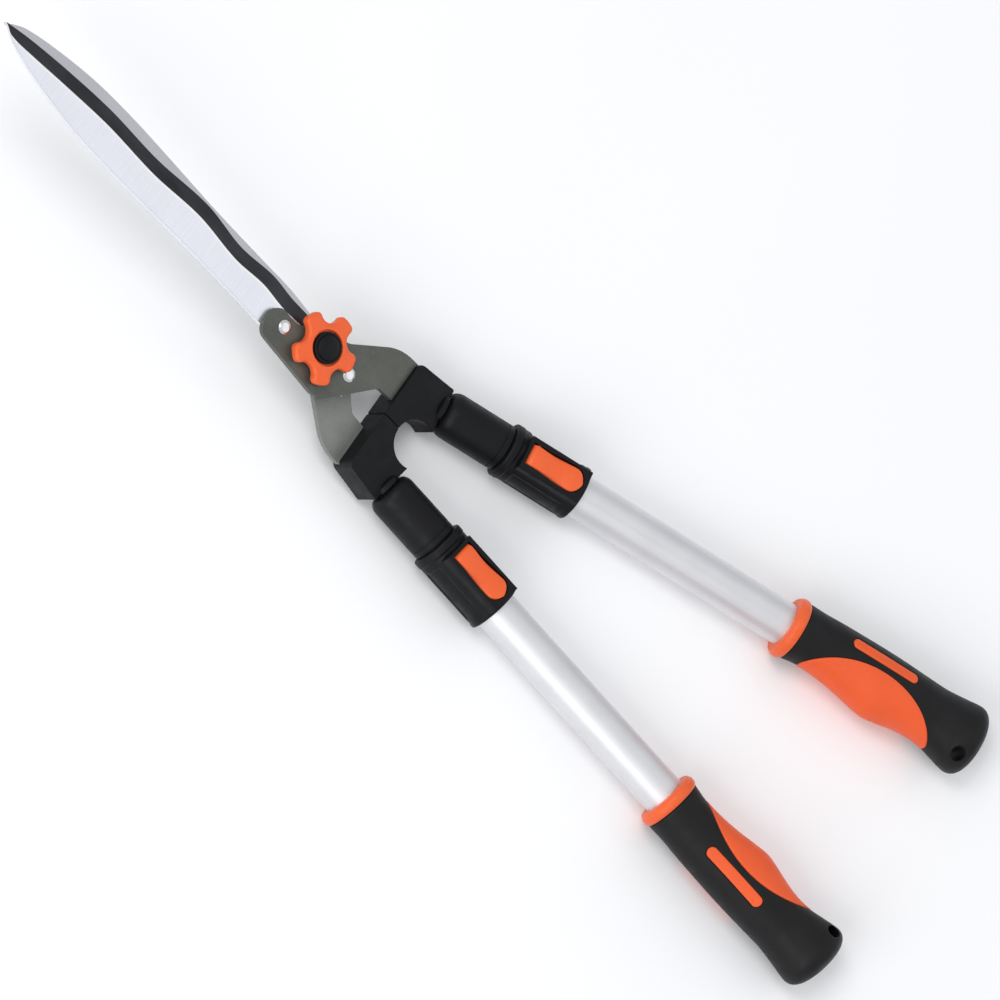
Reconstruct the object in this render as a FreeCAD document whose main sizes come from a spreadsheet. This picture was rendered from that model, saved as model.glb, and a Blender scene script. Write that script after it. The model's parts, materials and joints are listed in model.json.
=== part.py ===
"""Telescopic hedge shears, closed and with both handles pushed in.

Tool frame: +X from the pivot to the blade tips, +Z to the knob side, origin on the pivot axis where
the two blades shear. Handle frame: +X from the front of the sleeve to the butt, +Z up, +Y sideways.
Row frame: the tool frame leaned back until the handles lie on the ground, with the origin under the
middle of the whole tool. All lengths are millimetres and all angles degrees.
"""
import FreeCAD
import Part
import Sketcher
import math
import os
import re

from FreeCAD import Placement, Rotation, Vector

DIMENSIONS = {
    # blades and their wavy edge
    "blade_reach": 274.0,
    "blade_width": 33.0,
    "blade_thickness": 2.5,
    "shear_gap": 0.3,
    "bevel_depth": 1.1,
    # arms, riveted to the blades
    "arm_thickness": 3.5,
    "tang_width": 12.0,
    "rivet_shank_radius": 2.5,
    "rivet_head_radius": 4.2,
    "rivet_head_height": 1.4,
    # pivot and knob
    "bolt_radius": 4.0,
    "bolt_clearance": 0.06,
    "bolt_head_flats": 13.0,
    "bolt_head_height": 4.5,
    "washer_radius": 9.0,
    "washer_thickness": 1.0,
    "wave_washer_thickness": 0.8,
    "knob_radius": 21.0,
    "knob_hub_radius": 12.0,
    "knob_scallop_radius": 6.6,
    "knob_scallop_centre": 20.6,
    "knob_height": 5.8,
    "knob_foot": 0.8,
    "knob_edge_round": 1.6,
    "knob_recess_radius": 10.2,
    "knob_recess_depth": 1.8,
    "nut_flats": 13.0,
    "nut_height": 4.0,
    "cap_radius": 9.15,
    "cap_rim_height": 2.4,
    "cap_dome_height": 1.9,
    # how the handles leave the blades' plane
    "handle_offset_x": -86.6,
    "handle_offset_y": 28.9,
    "handle_offset_z": 4.2,
    "crank_angle": 15.35,
    "spread_angle": 8.75,
    "rest_lean": 14.95,
    # bumper blocks
    "bumper_front": -55.5,
    "bumper_bottom": -8.5,
    "bumper_height": 18.0,
    "bumper_edge_round": 1.2,
    "bumper_arch_centre": -82.0,
    "bumper_arch_radius": 14.0,
    "bumper_neck_radius": 9.2,
    "bumper_neck_start": -4.0,
    "bumper_neck_end": -0.2,
    "bumper_gap": 0.15,
    "pad_front": -66.0,
    "pad_length": 8.5,
    "pad_depth": 2.5,
    "pad_bottom": -4.0,
    "pad_height": 9.0,
    # stations along a handle, from the front of its sleeve
    "sleeve_end": 40.5,
    "inner_tube_start": 4.0,
    "inner_tube_end": 256.5,
    "collar_start": 41.0,
    "collar_end": 90.5,
    "outer_tube_start": 66.0,
    "outer_tube_end": 345.0,
    "ring_start": 232.5,
    "grip_start": 239.5,
    "butt_end": 364.5,
    # radii along a handle
    "inner_tube_radius": 10.9,
    "inner_tube_bore": 9.5,
    "outer_tube_radius": 12.5,
    "outer_tube_bore": 11.3,
    "sleeve_radius": 13.75,
    "collar_radius": 16.3,
    "collar_bore": 11.0,
    "ring_radius": 18.4,
    "guide_bush_radius": 11.25,
    "guide_bush_length": 8.0,
    # set screw that holds the tang in the sleeve
    "screw_radius": 2.0,
    "screw_station": 20.0,
    "screw_sunk": 0.2,
    "screw_tip_gap": 0.15,
    # cam lever, its pin and clamp shoe
    "lever_start": 51.0,
    "lever_length": 35.0,
    "lever_width": 14.5,
    "lever_top": 20.3,
    "lever_bottom": 15.0,
    "lever_pin_station": 54.7,
    "lever_pin_height": 16.6,
    "lever_pin_radius": 1.5,
    "cam_radius": 3.7,
    "lever_edge_round": 1.2,
    "lever_pin_overhang": 2.5,
    "lever_pin_clearance": 0.06,
    "housing_start": 47.0,
    "housing_end": 90.1,
    "housing_foot": 12.0,
    "housing_front_round": 2.6,
    "housing_back_round": 1.6,
    "housing_edge_round": 1.8,
    "housing_width": 21.0,
    "housing_top": 19.3,
    "shoe_start": 46.5,
    "shoe_end": 61.0,
    "shoe_width": 8.0,
    "shoe_top": 12.6,
    "shoe_bottom": 7.0,
    "moving_gap": 0.3,
    # grip
    "inlay_depth_radius": 14.4,
    "side_inlay_length": 44.0,
    "side_inlay_width": 6.8,
    "side_inlay_station": 290.5,
    "side_inlay_offset": 8.6,
    "hang_hole_radius": 3.75,
    "hang_hole_station": 352.5,
    "hang_hole_offset": 14.8,
}

FULL_TURN = 360.0
# closer than this counts as touching
TOUCH = 0.01
# beyond this Y a bumper's edges are rounded
OUTER_SIDE = 22.0
ABOUT_X = Rotation(Vector(1, 0, 0), 180.0)
ALONG_X = Rotation(Vector(0, 1, 0), 90.0)
ALONG_Y = Rotation(Vector(1, 0, 0), -90.0)
UPRIGHT = Rotation(Vector(1, 0, 0), 90.0)

document = FreeCAD.newDocument("hedge_shears")
sheet = document.addObject("Spreadsheet::Sheet", "Dimensions")
for row, (alias, number) in enumerate(DIMENSIONS.items(), start=1):
    sheet.set(f"A{row}", alias)
    sheet.set(f"B{row}", str(number))
    sheet.setAlias(f"B{row}", alias)
document.recompute()

sub_parts = []


# ---------------------------------------------------------------- helpers

def cell(text):
    """Turn plain aliases in a formula into references to the sheet's cells."""
    def reference(match):
        word = match.group()
        return f"Dimensions.{word}" if word in DIMENSIONS else word
    return re.sub(r"[a-z_]+", reference, text)


def value(text):
    """Work out a formula of the sheet's aliases as a plain number."""
    result = sheet.evalExpression(cell(text))
    return float(getattr(result, "Value", result))


def bind(item, **formulas):
    """Bind properties of an object to formulas of the sheet's aliases."""
    for name, formula in formulas.items():
        item.setExpression(name, cell(formula))


def place(item, at=("0", "0", "0"), turn=None):
    """Put an object at a point whose coordinates are formulas, turned as asked."""
    item.Placement = Placement(Vector(*[value(text) for text in at]), turn or Rotation())
    for axis, text in zip("xyz", at):
        item.setExpression(f"Placement.Base.{axis}", cell(text))
    return item


def cylinder(name, radius, height, at=("0", "0", "0"), turn=None):
    item = document.addObject("Part::Cylinder", name)
    bind(item, Radius=radius, Height=height)
    return place(item, at, turn)


def rod(name, radius, start, end, at=("0", "0")):
    """A cylinder along X from one station to another."""
    return cylinder(name, radius, f"({end}) - ({start})", (start, *at), ALONG_X)


def box(name, low, size):
    item = document.addObject("Part::Box", name)
    bind(item, Length=size[0], Width=size[1], Height=size[2])
    return place(item, low)


def hexagon(name, flats, height, at):
    """A hexagonal prism along Z, by its width across flats."""
    item = document.addObject("Part::Prism", name)
    item.Polygon = 6
    bind(item, Circumradius=f"({flats}) / sqrt(3)", Height=height)
    return place(item, at)


def fuse(name, *items):
    item = document.addObject("Part::MultiFuse", name)
    item.Shapes = list(items)
    item.Refine = True
    return item


def cut(name, base, *tools):
    """Take one or more tools away from a base."""
    tool = tools[0] if len(tools) == 1 else fuse(f"{name}_tools", *tools)
    item = document.addObject("Part::Cut", name)
    item.Base = base
    item.Tool = tool
    item.Refine = True
    return item


def common(name, base, tool):
    item = document.addObject("Part::Common", name)
    item.Base = base
    item.Tool = tool
    return item


def fillet(name, base, radius, picks):
    """Round the edges of a base for which picks(edge) is true."""
    document.recompute()
    size = value(radius)
    edges = [n for n, edge in enumerate(base.Shape.Edges, start=1) if picks(edge)]
    item = document.addObject("Part::Fillet", name)
    item.Base = base
    item.Edges = [(number, size, size) for number in edges]
    document.recompute()
    if item.Shape.isNull() or not item.Shape.isValid():
        raise RuntimeError(f"{name} could not be rounded")
    return item


def bound_polygon(sketch, corners):
    """Draw a closed polygon whose corners are pairs of formulas, each bound to the sheet."""
    points = [Vector(value(x), value(y), 0) for x, y in corners]
    count = len(points)
    for index in range(count):
        sketch.addGeometry(Part.LineSegment(points[index], points[(index + 1) % count]), False)
    for index in range(count):
        sketch.addConstraint(Sketcher.Constraint("Coincident", index, 2, (index + 1) % count, 1))
    for index, (x, y) in enumerate(corners):
        for kind, text, number in (("DistanceX", x, points[index].x), ("DistanceY", y, points[index].y)):
            added = sketch.addConstraint(Sketcher.Constraint(kind, -1, 1, index, 1, number))
            sketch.setExpression(f"Constraints[{added}]", cell(text))


def turned(name, corners, axis="X"):
    """A solid turned about X, or about Z, from a profile of (station, radius) formulas."""
    sketch = document.addObject("Sketcher::SketchObject", f"{name}_profile")
    if axis == "Z":
        sketch.Placement = Placement(Vector(), UPRIGHT)
        corners = [(radius, station) for station, radius in corners]
    bound_polygon(sketch, corners)
    item = document.addObject("Part::Revolution", name)
    item.Source = sketch
    item.Axis = Vector(1, 0, 0) if axis == "X" else Vector(0, 0, 1)
    item.Angle = FULL_TURN
    item.Solid = True
    return item


def rounded_outline(corners):
    """Lines and tangent arcs round a closed polygon of (x, y, corner radius)."""
    pieces = []
    joints = []
    count = len(corners)
    for index, (x, y, radius) in enumerate(corners):
        here = Vector(x, y, 0)
        before = Vector(*corners[index - 1][:2], 0) - here
        after = Vector(*corners[(index + 1) % count][:2], 0) - here
        before.normalize()
        after.normalize()
        half = before.getAngle(after) / 2
        reach = radius / math.tan(half)
        middle = before + after
        middle.normalize()
        centre = here + middle * (radius / math.sin(half))
        joints.append((here + before * reach, centre - middle * radius, here + after * reach))
    for index, (start, middle, end) in enumerate(joints):
        if corners[index][2] > 0:
            pieces.append(Part.Arc(start, middle, end))
        pieces.append(Part.LineSegment(end, joints[(index + 1) % count][0]))
    return pieces


def plate(name, geometry, low, height, turn=None, symmetric=False):
    """A flat outline drawn out to a plate, upward from the formula low."""
    sketch = document.addObject("Sketcher::SketchObject", f"{name}_outline")
    sketch.addGeometry(geometry, False)
    place(sketch, ("0", "0", low), turn)
    item = document.addObject("Part::Extrusion", name)
    item.Base = sketch
    item.DirMode = "Normal"
    item.Solid = True
    item.Symmetric = symmetric
    bind(item, LengthFwd=height)
    return item


def curve(points):
    """A smooth curve through points in the XY plane."""
    spline = Part.BSplineCurve()
    spline.interpolate([Vector(x, y, 0) for x, y in points])
    return spline


def placed(label, item, frame):
    """An item carried into another frame."""
    carrier = document.addObject("Part::Compound", label)
    carrier.Links = [item]
    carrier.Placement = frame
    return carrier


def keep(item, label, frame):
    """Name a finished sub-part and note the frame that it is drawn in.

    The sub-part is a compound of its own, so that moving it leaves alone the solid it was made from,
    which may also have shaped its neighbours.
    """
    sub_part = document.addObject("Part::Compound", label)
    sub_part.Links = item if isinstance(item, list) else [item]
    sub_part.Label = label
    sub_parts.append((sub_part, frame))


# ---------------------------------------------------------------- frames

TOOL = Placement()
FLIPPED = Placement(Vector(), ABOUT_X)


def handle_frame(side):
    """The frame of the handle on one side: -1 joins the front arm, +1 the rear arm."""
    crank = math.radians(value("crank_angle"))
    spread = math.radians(value("spread_angle"))
    along = Vector(-math.cos(crank) * math.cos(spread), side * math.cos(crank) * math.sin(spread),
                   math.sin(crank))
    up = Vector(0, 0, 1) - along * along.z
    up.normalize()
    sideways = up.cross(along)
    start = Vector(value("handle_offset_x"), side * value("handle_offset_y"), value("handle_offset_z"))
    return Placement(start, Rotation(along, sideways, up, "ZXY"))


# ---------------------------------------------------------------- blades

def make_blade(label, frame):
    """A blade with a wavy cutting edge on its -Y side, bevelled on the face away from its mate."""
    reach = value("blade_reach")
    belly = value("blade_width") / 2
    tip_half = 0.8
    tail = -32.0
    spine = [(reach - 1.2, tip_half), (reach - 12, 0.39 * belly), (reach - 36, 0.705 * belly),
             (reach - 67, 0.94 * belly), (reach - 99, belly), (reach - 132, 0.96 * belly),
             (reach - 173, 0.885 * belly), (60, 0.873 * belly), (28, 0.86 * belly)]
    edge = [(14, -10.8), (29, -10.9), (47, -12.3), (74, -10.0), (106, -12.9), (148, -9.6),
            (189, -9.8), (225, -7.3), (255, -3.9), (reach - 1.2, -tip_half)]
    outline = [
        curve(spine),
        Part.LineSegment(Vector(28, 0.86 * belly, 0), Vector(tail, 7, 0)),
        Part.LineSegment(Vector(tail, 7, 0), Vector(tail, -8, 0)),
        Part.LineSegment(Vector(tail, -8, 0), Vector(14, -10.8, 0)),
        curve(edge),
        Part.Arc(Vector(reach - 1.2, -tip_half, 0), Vector(reach, 0, 0), Vector(reach - 1.2, tip_half, 0)),
    ]
    blank = plate(f"{label}_blank", outline, "shear_gap / 2", "blade_thickness")
    inner = [(12, -2.4), (31, -1.6), (50, -3.0), (73, -1.2), (107, -3.4), (145, -0.6), (186, -0.9),
             (222, 1.3), (250, 3.5), (reach - 12, 4.0), (reach + 2, 2.6)]
    outside = -20.0
    band = [
        curve(inner),
        Part.LineSegment(Vector(*inner[-1], 0), Vector(reach + 2, outside, 0)),
        Part.LineSegment(Vector(reach + 2, outside, 0), Vector(12, outside, 0)),
        Part.LineSegment(Vector(12, outside, 0), Vector(*inner[0], 0)),
    ]
    bevel = plate(f"{label}_bevel", band, "shear_gap / 2 + blade_thickness - bevel_depth",
                  "2 * bevel_depth")
    keep(cut(f"{label}_cut", blank, bevel, *bores(f"{label}_bores")), label, frame)


RIVET_PLACES = (("25.6", "7"), ("-24.5", "-1.5"))


def bores(name):
    """The pivot bore and the two rivet bores, as tools that reach through the front stack."""
    height = "shear_gap + blade_thickness + arm_thickness + 2"
    tools = [cylinder(f"{name}_pivot", "bolt_radius + bolt_clearance", height, ("0", "0", "-1"))]
    for x, y in RIVET_PLACES:
        tools.append(cylinder(f"{name}_rivet", "rivet_shank_radius", height, (x, y, "-1")))
    return tools


def make_rivets(label, frame):
    """Two rivets with low domed heads on the arm, flush with the blade's shearing face."""
    base = "shear_gap / 2"
    top = "shear_gap / 2 + blade_thickness + arm_thickness"
    rivets = []
    for x, y in RIVET_PLACES:
        head = turned(f"{label}_head", [
            (base, "0"), (base, "rivet_shank_radius"), (top, "rivet_shank_radius"),
            (top, "rivet_head_radius"), (f"{top} + 0.35 * rivet_head_height", "rivet_head_radius"),
            (f"{top} + rivet_head_height", "0.5 * rivet_head_radius"), (f"{top} + rivet_head_height", "0"),
        ], axis="Z")
        place(head, (x, y, "0"))
        rivets.append(head)
    keep(rivets, label, frame)


# ---------------------------------------------------------------- arms

def bent_strip(name, middle, bend_x):
    """The side view of an arm: flat from the blade, then bent up to follow the handle."""
    slope = math.atan(math.tan(math.radians(value("crank_angle")))
                      / math.cos(math.radians(value("spread_angle"))))
    half = value("arm_thickness") / 2
    shift = half * math.tan(slope / 2)
    run = 80.0
    inner_radius = 5.0
    outer_radius = inner_radius + 2 * half
    far_x = bend_x - run * math.cos(slope)
    far_z = middle + run * math.sin(slope)
    corners = [
        (45.0, middle - half, 0),
        (45.0, middle + half, 0),
        (bend_x + shift, middle + half, inner_radius),
        (far_x + half * math.sin(slope), far_z + half * math.cos(slope), 0),
        (far_x - half * math.sin(slope), far_z - half * math.cos(slope), 0),
        (bend_x - shift, middle - half, outer_radius),
    ]
    return plate(name, rounded_outline(corners), "0", "200", UPRIGHT, symmetric=True)


def make_arm(label, side):
    """A steel arm: its blade end is riveted to a blade and its tang runs into the handle."""
    half_stack = value("shear_gap / 2 + blade_thickness + arm_thickness / 2")
    middle = -side * half_stack
    slope = math.tan(math.radians(value("crank_angle"))) / math.cos(math.radians(value("spread_angle")))
    bend_x = value("handle_offset_x") + (value("handle_offset_z") - middle) / slope
    spread = math.tan(math.radians(value("spread_angle")))
    tang_half = value("tang_width") / 2
    tang_root_x = -68.0
    tang_end_x = -119.0
    root_y = value("handle_offset_y") + (value("handle_offset_x") - tang_root_x) * spread
    end_y = value("handle_offset_y") + (value("handle_offset_x") - tang_end_x) * spread
    lobe_y = -19.2 if side < 0 else -12.5
    lobe_round = 7.5 if side < 0 else 6.4
    heel_y = -23.2 if side < 0 else -13.5
    corners = [
        (38.3, 1.2, lobe_round),
        (37.8, lobe_y, lobe_round),
        (-17.5 if side < 0 else -21.0, heel_y, 15.0),
        (-45.0, 9.3, 4.0),
        (-63.0, 10.4, 2.0),
        (tang_root_x, root_y - tang_half, 2.0),
        (tang_end_x, end_y - tang_half, 2.0),
        (tang_end_x, end_y + tang_half, 2.0),
        (tang_root_x, root_y + tang_half, 2.0),
        (-64.0, 36.5, 2.0),
        (-42.0, 36.3, 30.0),
        (-12.5, 14.0, 8.0),
        (4.0, 15.5, 14.0),
        (19.0, -0.5, 10.0),
    ]
    planform = plate(f"{label}_planform", rounded_outline([(x, side * y, r) for x, y, r in corners]),
                     "0", "200", symmetric=True)
    blank = common(f"{label}_blank", planform, bent_strip(f"{label}_strip", middle, bend_x))
    drill = bores(f"{label}_bores")
    if side > 0:
        flipped = fuse(f"{label}_drill", *drill)
        flipped.Placement = FLIPPED
        drill = [flipped]
    return cut(f"{label}_cut", blank, *drill)


# ---------------------------------------------------------------- pivot and knob

STACK_TOP = "shear_gap / 2 + blade_thickness + arm_thickness"
KNOB_BASE = f"{STACK_TOP} + washer_thickness + moving_gap"
LOBE_BASE = f"{KNOB_BASE} + knob_foot"
LOBE_TOP = f"{LOBE_BASE} + knob_height"
RECESS_FLOOR = f"{LOBE_TOP} - knob_recess_depth"


def make_pivot():
    """The bolt, held by the rear arm, and the washer that lies on the front arm."""
    head = hexagon("bolt_head", "bolt_head_flats", "bolt_head_height",
                   ("0", "0", f"-({STACK_TOP}) - bolt_head_height"))
    shank = cylinder("bolt_shank", "bolt_radius", f"({STACK_TOP}) + ({RECESS_FLOOR})",
                     ("0", "0", f"-({STACK_TOP})"))
    keep(fuse("bolt_solid", head, shank), "pivot_bolt", TOOL)
    disc = cylinder("washer_disc", "washer_radius", "washer_thickness", ("0", "0", STACK_TOP))
    hole = cylinder("washer_hole", "bolt_radius + moving_gap", "3 * washer_thickness",
                    ("0", "0", f"{STACK_TOP} - washer_thickness"))
    keep(cut("washer_cut", disc, hole), "thrust_washer", TOOL)


def make_wave_washer():
    """A thin spring washer in the counterbore under the knob."""
    disc = cylinder("wave_disc", "washer_radius", "wave_washer_thickness", ("0", "0", KNOB_BASE))
    hole = cylinder("wave_hole", "bolt_radius + moving_gap", "3 * wave_washer_thickness",
                    ("0", "0", f"{KNOB_BASE} - wave_washer_thickness"))
    keep(cut("wave_cut", disc, hole), "wave_washer", TOOL)


def origin_plane(body, role):
    return next(item for item in body.Origin.OriginFeatures if item.Role == role)


def circle_sketch(body, name, radius, centre="0", height="0"):
    """A sketch of one circle on the body's XY plane, its radius bound to the sheet."""
    sketch = body.newObject("Sketcher::SketchObject", name)
    sketch.AttachmentSupport = (origin_plane(body, "XY_Plane"), [""])
    sketch.MapMode = "FlatFace"
    sketch.AttachmentOffset = Placement(Vector(0, 0, value(height)), Rotation())
    sketch.setExpression("AttachmentOffset.Base.z", cell(height))
    sketch.addGeometry(Part.Circle(Vector(value(centre), 0, 0), Vector(0, 0, 1), value(radius)), False)
    ring = sketch.addConstraint(Sketcher.Constraint("Radius", 0, value(radius)))
    sketch.setExpression(f"Constraints[{ring}]", cell(radius))
    if centre == "0":
        sketch.addConstraint(Sketcher.Constraint("Coincident", 0, 3, -1, 1))
    else:
        sketch.addConstraint(Sketcher.Constraint("PointOnObject", 0, 3, -1))
        away = sketch.addConstraint(Sketcher.Constraint("DistanceX", -1, 1, 0, 3, value(centre)))
        sketch.setExpression(f"Constraints[{away}]", cell(centre))
    return sketch


def body_pad(body, name, sketch, length):
    feature = body.newObject("PartDesign::Pad", name)
    feature.Profile = sketch
    bind(feature, Length=length)
    document.recompute()
    return feature


def body_pocket(body, name, sketch, length):
    """Cut a pocket downward, and make sure that it took something away."""
    volume = body.Shape.Volume
    feature = body.newObject("PartDesign::Pocket", name)
    feature.Profile = sketch
    bind(feature, Length=length)
    document.recompute()
    if feature.Shape.Volume >= volume:
        raise RuntimeError(f"{name} cuts nothing")
    return feature


def make_knob():
    """A star knob with five lobes, with a recess for its cap and a pocket for its nut."""
    lobes = 5
    phase = 13.0
    body = document.addObject("PartDesign::Body", "knob_body")
    disc = circle_sketch(body, "knob_disc", "knob_radius", height=LOBE_BASE)
    body_pad(body, "knob_lobes", disc, "knob_height")
    scallop = circle_sketch(body, "knob_scallop", "knob_scallop_radius", "knob_scallop_centre", LOBE_TOP)
    pocket = body_pocket(body, "knob_valley", scallop, "knob_height + knob_foot")
    pattern = body.newObject("PartDesign::PolarPattern", "knob_valleys")
    pattern.Originals = [pocket]
    pattern.Axis = (origin_plane(body, "Z_Axis"), [""])
    pattern.Angle = FULL_TURN
    pattern.Occurrences = lobes
    body.Tip = pattern
    document.recompute()
    edges = [f"Edge{n}" for n, edge in enumerate(pattern.Shape.Edges, start=1)
             if abs(edge.Vertexes[0].Z - edge.Vertexes[-1].Z) > 1]
    uprights = body.newObject("PartDesign::Fillet", "knob_lobe_corners")
    uprights.Base = (pattern, edges)
    uprights.Radius = 3.2
    document.recompute()
    flats = [f"Edge{n}" for n, edge in enumerate(uprights.Shape.Edges, start=1)
             if abs(edge.BoundBox.ZMax - edge.BoundBox.ZMin) < 0.01]
    rounds = body.newObject("PartDesign::Fillet", "knob_rounds")
    rounds.Base = (uprights, flats)
    bind(rounds, Radius="knob_edge_round")
    document.recompute()
    foot = circle_sketch(body, "knob_foot_ring", "knob_hub_radius", height=KNOB_BASE)
    body_pad(body, "knob_hub", foot, "knob_foot + 1")
    recess = circle_sketch(body, "knob_cap_recess", "knob_recess_radius", height=LOBE_TOP)
    body_pocket(body, "knob_cap_pocket", recess, "knob_recess_depth")
    under = circle_sketch(body, "knob_counterbore", "washer_radius + moving_gap",
                          height=f"{KNOB_BASE} + wave_washer_thickness")
    body_pocket(body, "knob_washer_pocket", under, "wave_washer_thickness + 1")
    document.recompute()
    nut_hole = hexagon("knob_nut_hole", "nut_flats", f"({RECESS_FLOOR}) - ({KNOB_BASE}) + 1",
                       ("0", "0", KNOB_BASE))
    turn = Placement(Vector(), Rotation(Vector(0, 0, 1), phase))
    keep(cut("knob_star", body, nut_hole), "tension_knob", turn)
    nut = hexagon("nut_hexagon", "nut_flats", "nut_height",
                  ("0", "0", f"{RECESS_FLOOR} - nut_height"))
    thread = cylinder("nut_thread", "bolt_radius + bolt_clearance", "2 * nut_height",
                      ("0", "0", f"{RECESS_FLOOR} - 1.5 * nut_height"))
    keep(cut("knob_nut_drilled", nut, thread), "knob_nut", turn)


def make_knob_cap():
    """A round cap with a low dome, pressed into the recess in the knob."""
    floor = RECESS_FLOOR
    rim = f"{floor} + cap_rim_height"
    cap = turned("cap_turned", [
        (f"{floor}", "0"), (f"{floor}", "cap_radius"), (rim, "cap_radius"),
        (f"{rim} + 0.6 * cap_dome_height", "0.8 * cap_radius"),
        (f"{rim} + 0.92 * cap_dome_height", "0.45 * cap_radius"), (f"{rim} + cap_dome_height", "0"),
    ], axis="Z")
    keep(cap, "knob_cap", TOOL)


# ---------------------------------------------------------------- bumpers

def make_bumper(label, pad_label, side, arm):
    """A block moulded over the end of an arm, with half of the arch and a neck to the sleeve."""
    front = value("bumper_front")
    inner = value("bumper_gap")
    corners = [
        (front, inner, 1.2), (front, 37.2, 4.0), (-82.6, 40.6, 1.2), (-86.6, 15.0, 3.0), (-90.0, inner, 0),
    ]
    block = plate(f"{label}_block", rounded_outline([(x, side * y, r) for x, y, r in corners]),
                  "bumper_bottom", "bumper_height")
    arch = cylinder(f"{label}_arch", "bumper_arch_radius", "2 * bumper_height",
                    ("bumper_arch_centre", "0", "bumper_bottom - bumper_height / 2"))
    trimmed = cut(f"{label}_trimmed", block, arch)
    ends = (value("bumper_bottom"), value("bumper_bottom + bumper_height"))
    rounded = fillet(f"{label}_rounded", trimmed, "bumper_edge_round", lambda edge: any(
        abs(edge.BoundBox.ZMin - z) < TOUCH and abs(edge.BoundBox.ZMax - z) < TOUCH for z in ends)
        and abs(edge.CenterOfMass.y) > OUTER_SIDE)
    neck = rod(f"{label}_neck", "bumper_neck_radius", "bumper_neck_start", "bumper_neck_end")
    solid = fuse(f"{label}_solid", rounded, placed(f"{label}_placed_neck", neck, handle_frame(side)))
    pad = box(f"{pad_label}_box", ("pad_front", "0" if side > 0 else "-pad_depth", "pad_bottom"),
              ("pad_length", "pad_depth", "pad_height"))
    seam = box(f"{pad_label}_seam", ("pad_front - pad_length", "-bumper_gap", "-bumper_height"),
               ("3 * pad_length", "2 * bumper_gap", "2 * bumper_height"))
    keep(cut(f"{label}_cut", solid, arm, pad), label, TOOL)
    keep(cut(f"{pad_label}_cut", pad, seam), pad_label, TOOL)


# ---------------------------------------------------------------- handles

def make_fixed_handle(prefix, side):
    """The parts of a handle that stay with the arm: sleeve, its screw, inner tube and guide bush."""
    frame = handle_frame(side)
    body = turned(f"{prefix}_sleeve_body", [
        ("0", "inner_tube_bore"), ("0", "sleeve_radius - 3.7"), ("1.4", "sleeve_radius - 1.8"),
        ("5.5", "sleeve_radius"), ("sleeve_end", "sleeve_radius"), ("sleeve_end", "inner_tube_radius"),
        ("inner_tube_start", "inner_tube_radius"), ("inner_tube_start", "inner_tube_bore"),
    ])
    drill = cylinder(f"{prefix}_screw_drill", "screw_radius", "2 * sleeve_radius",
                     ("screw_station", "0", "-2 * sleeve_radius"))
    keep(cut(f"{prefix}_sleeve_drilled", body, drill), f"{prefix}_sleeve", frame)
    tube = turned(f"{prefix}_inner_tube_body", [
        ("inner_tube_start", "inner_tube_bore"), ("inner_tube_start", "inner_tube_radius"),
        ("inner_tube_end", "inner_tube_radius"), ("inner_tube_end", "inner_tube_bore"),
    ])
    keep(cut(f"{prefix}_inner_tube_drilled", tube, drill), f"{prefix}_inner_tube", frame)
    shank = cylinder(f"{prefix}_screw_shank", "screw_radius",
                     "sleeve_radius - screw_sunk - arm_thickness / 2 - screw_tip_gap",
                     ("screw_station", "0", "screw_sunk - sleeve_radius"))
    keep(shank, f"{prefix}_tang_screw", frame)
    bush = turned(f"{prefix}_guide_bush_body", [
        ("inner_tube_end - guide_bush_length", "0.7 * inner_tube_bore"),
        ("inner_tube_end - guide_bush_length", "inner_tube_bore"),
        ("inner_tube_end", "inner_tube_bore"), ("inner_tube_end", "guide_bush_radius"),
        ("inner_tube_end + guide_bush_length", "guide_bush_radius"),
        ("inner_tube_end + guide_bush_length", "0.7 * inner_tube_bore"),
    ])
    keep(bush, f"{prefix}_guide_bush", frame)


def lever_outline(start, gap):
    """The lever from above, from a station on: square there, and round at its free end."""
    end = value("lever_start + lever_length") + gap
    half = value("lever_width") / 2 + gap
    nose = half * 0.93
    return rounded_outline([(start, -half, 0), (end, -half, nose), (end, half, nose), (start, half, 0)])


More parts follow.
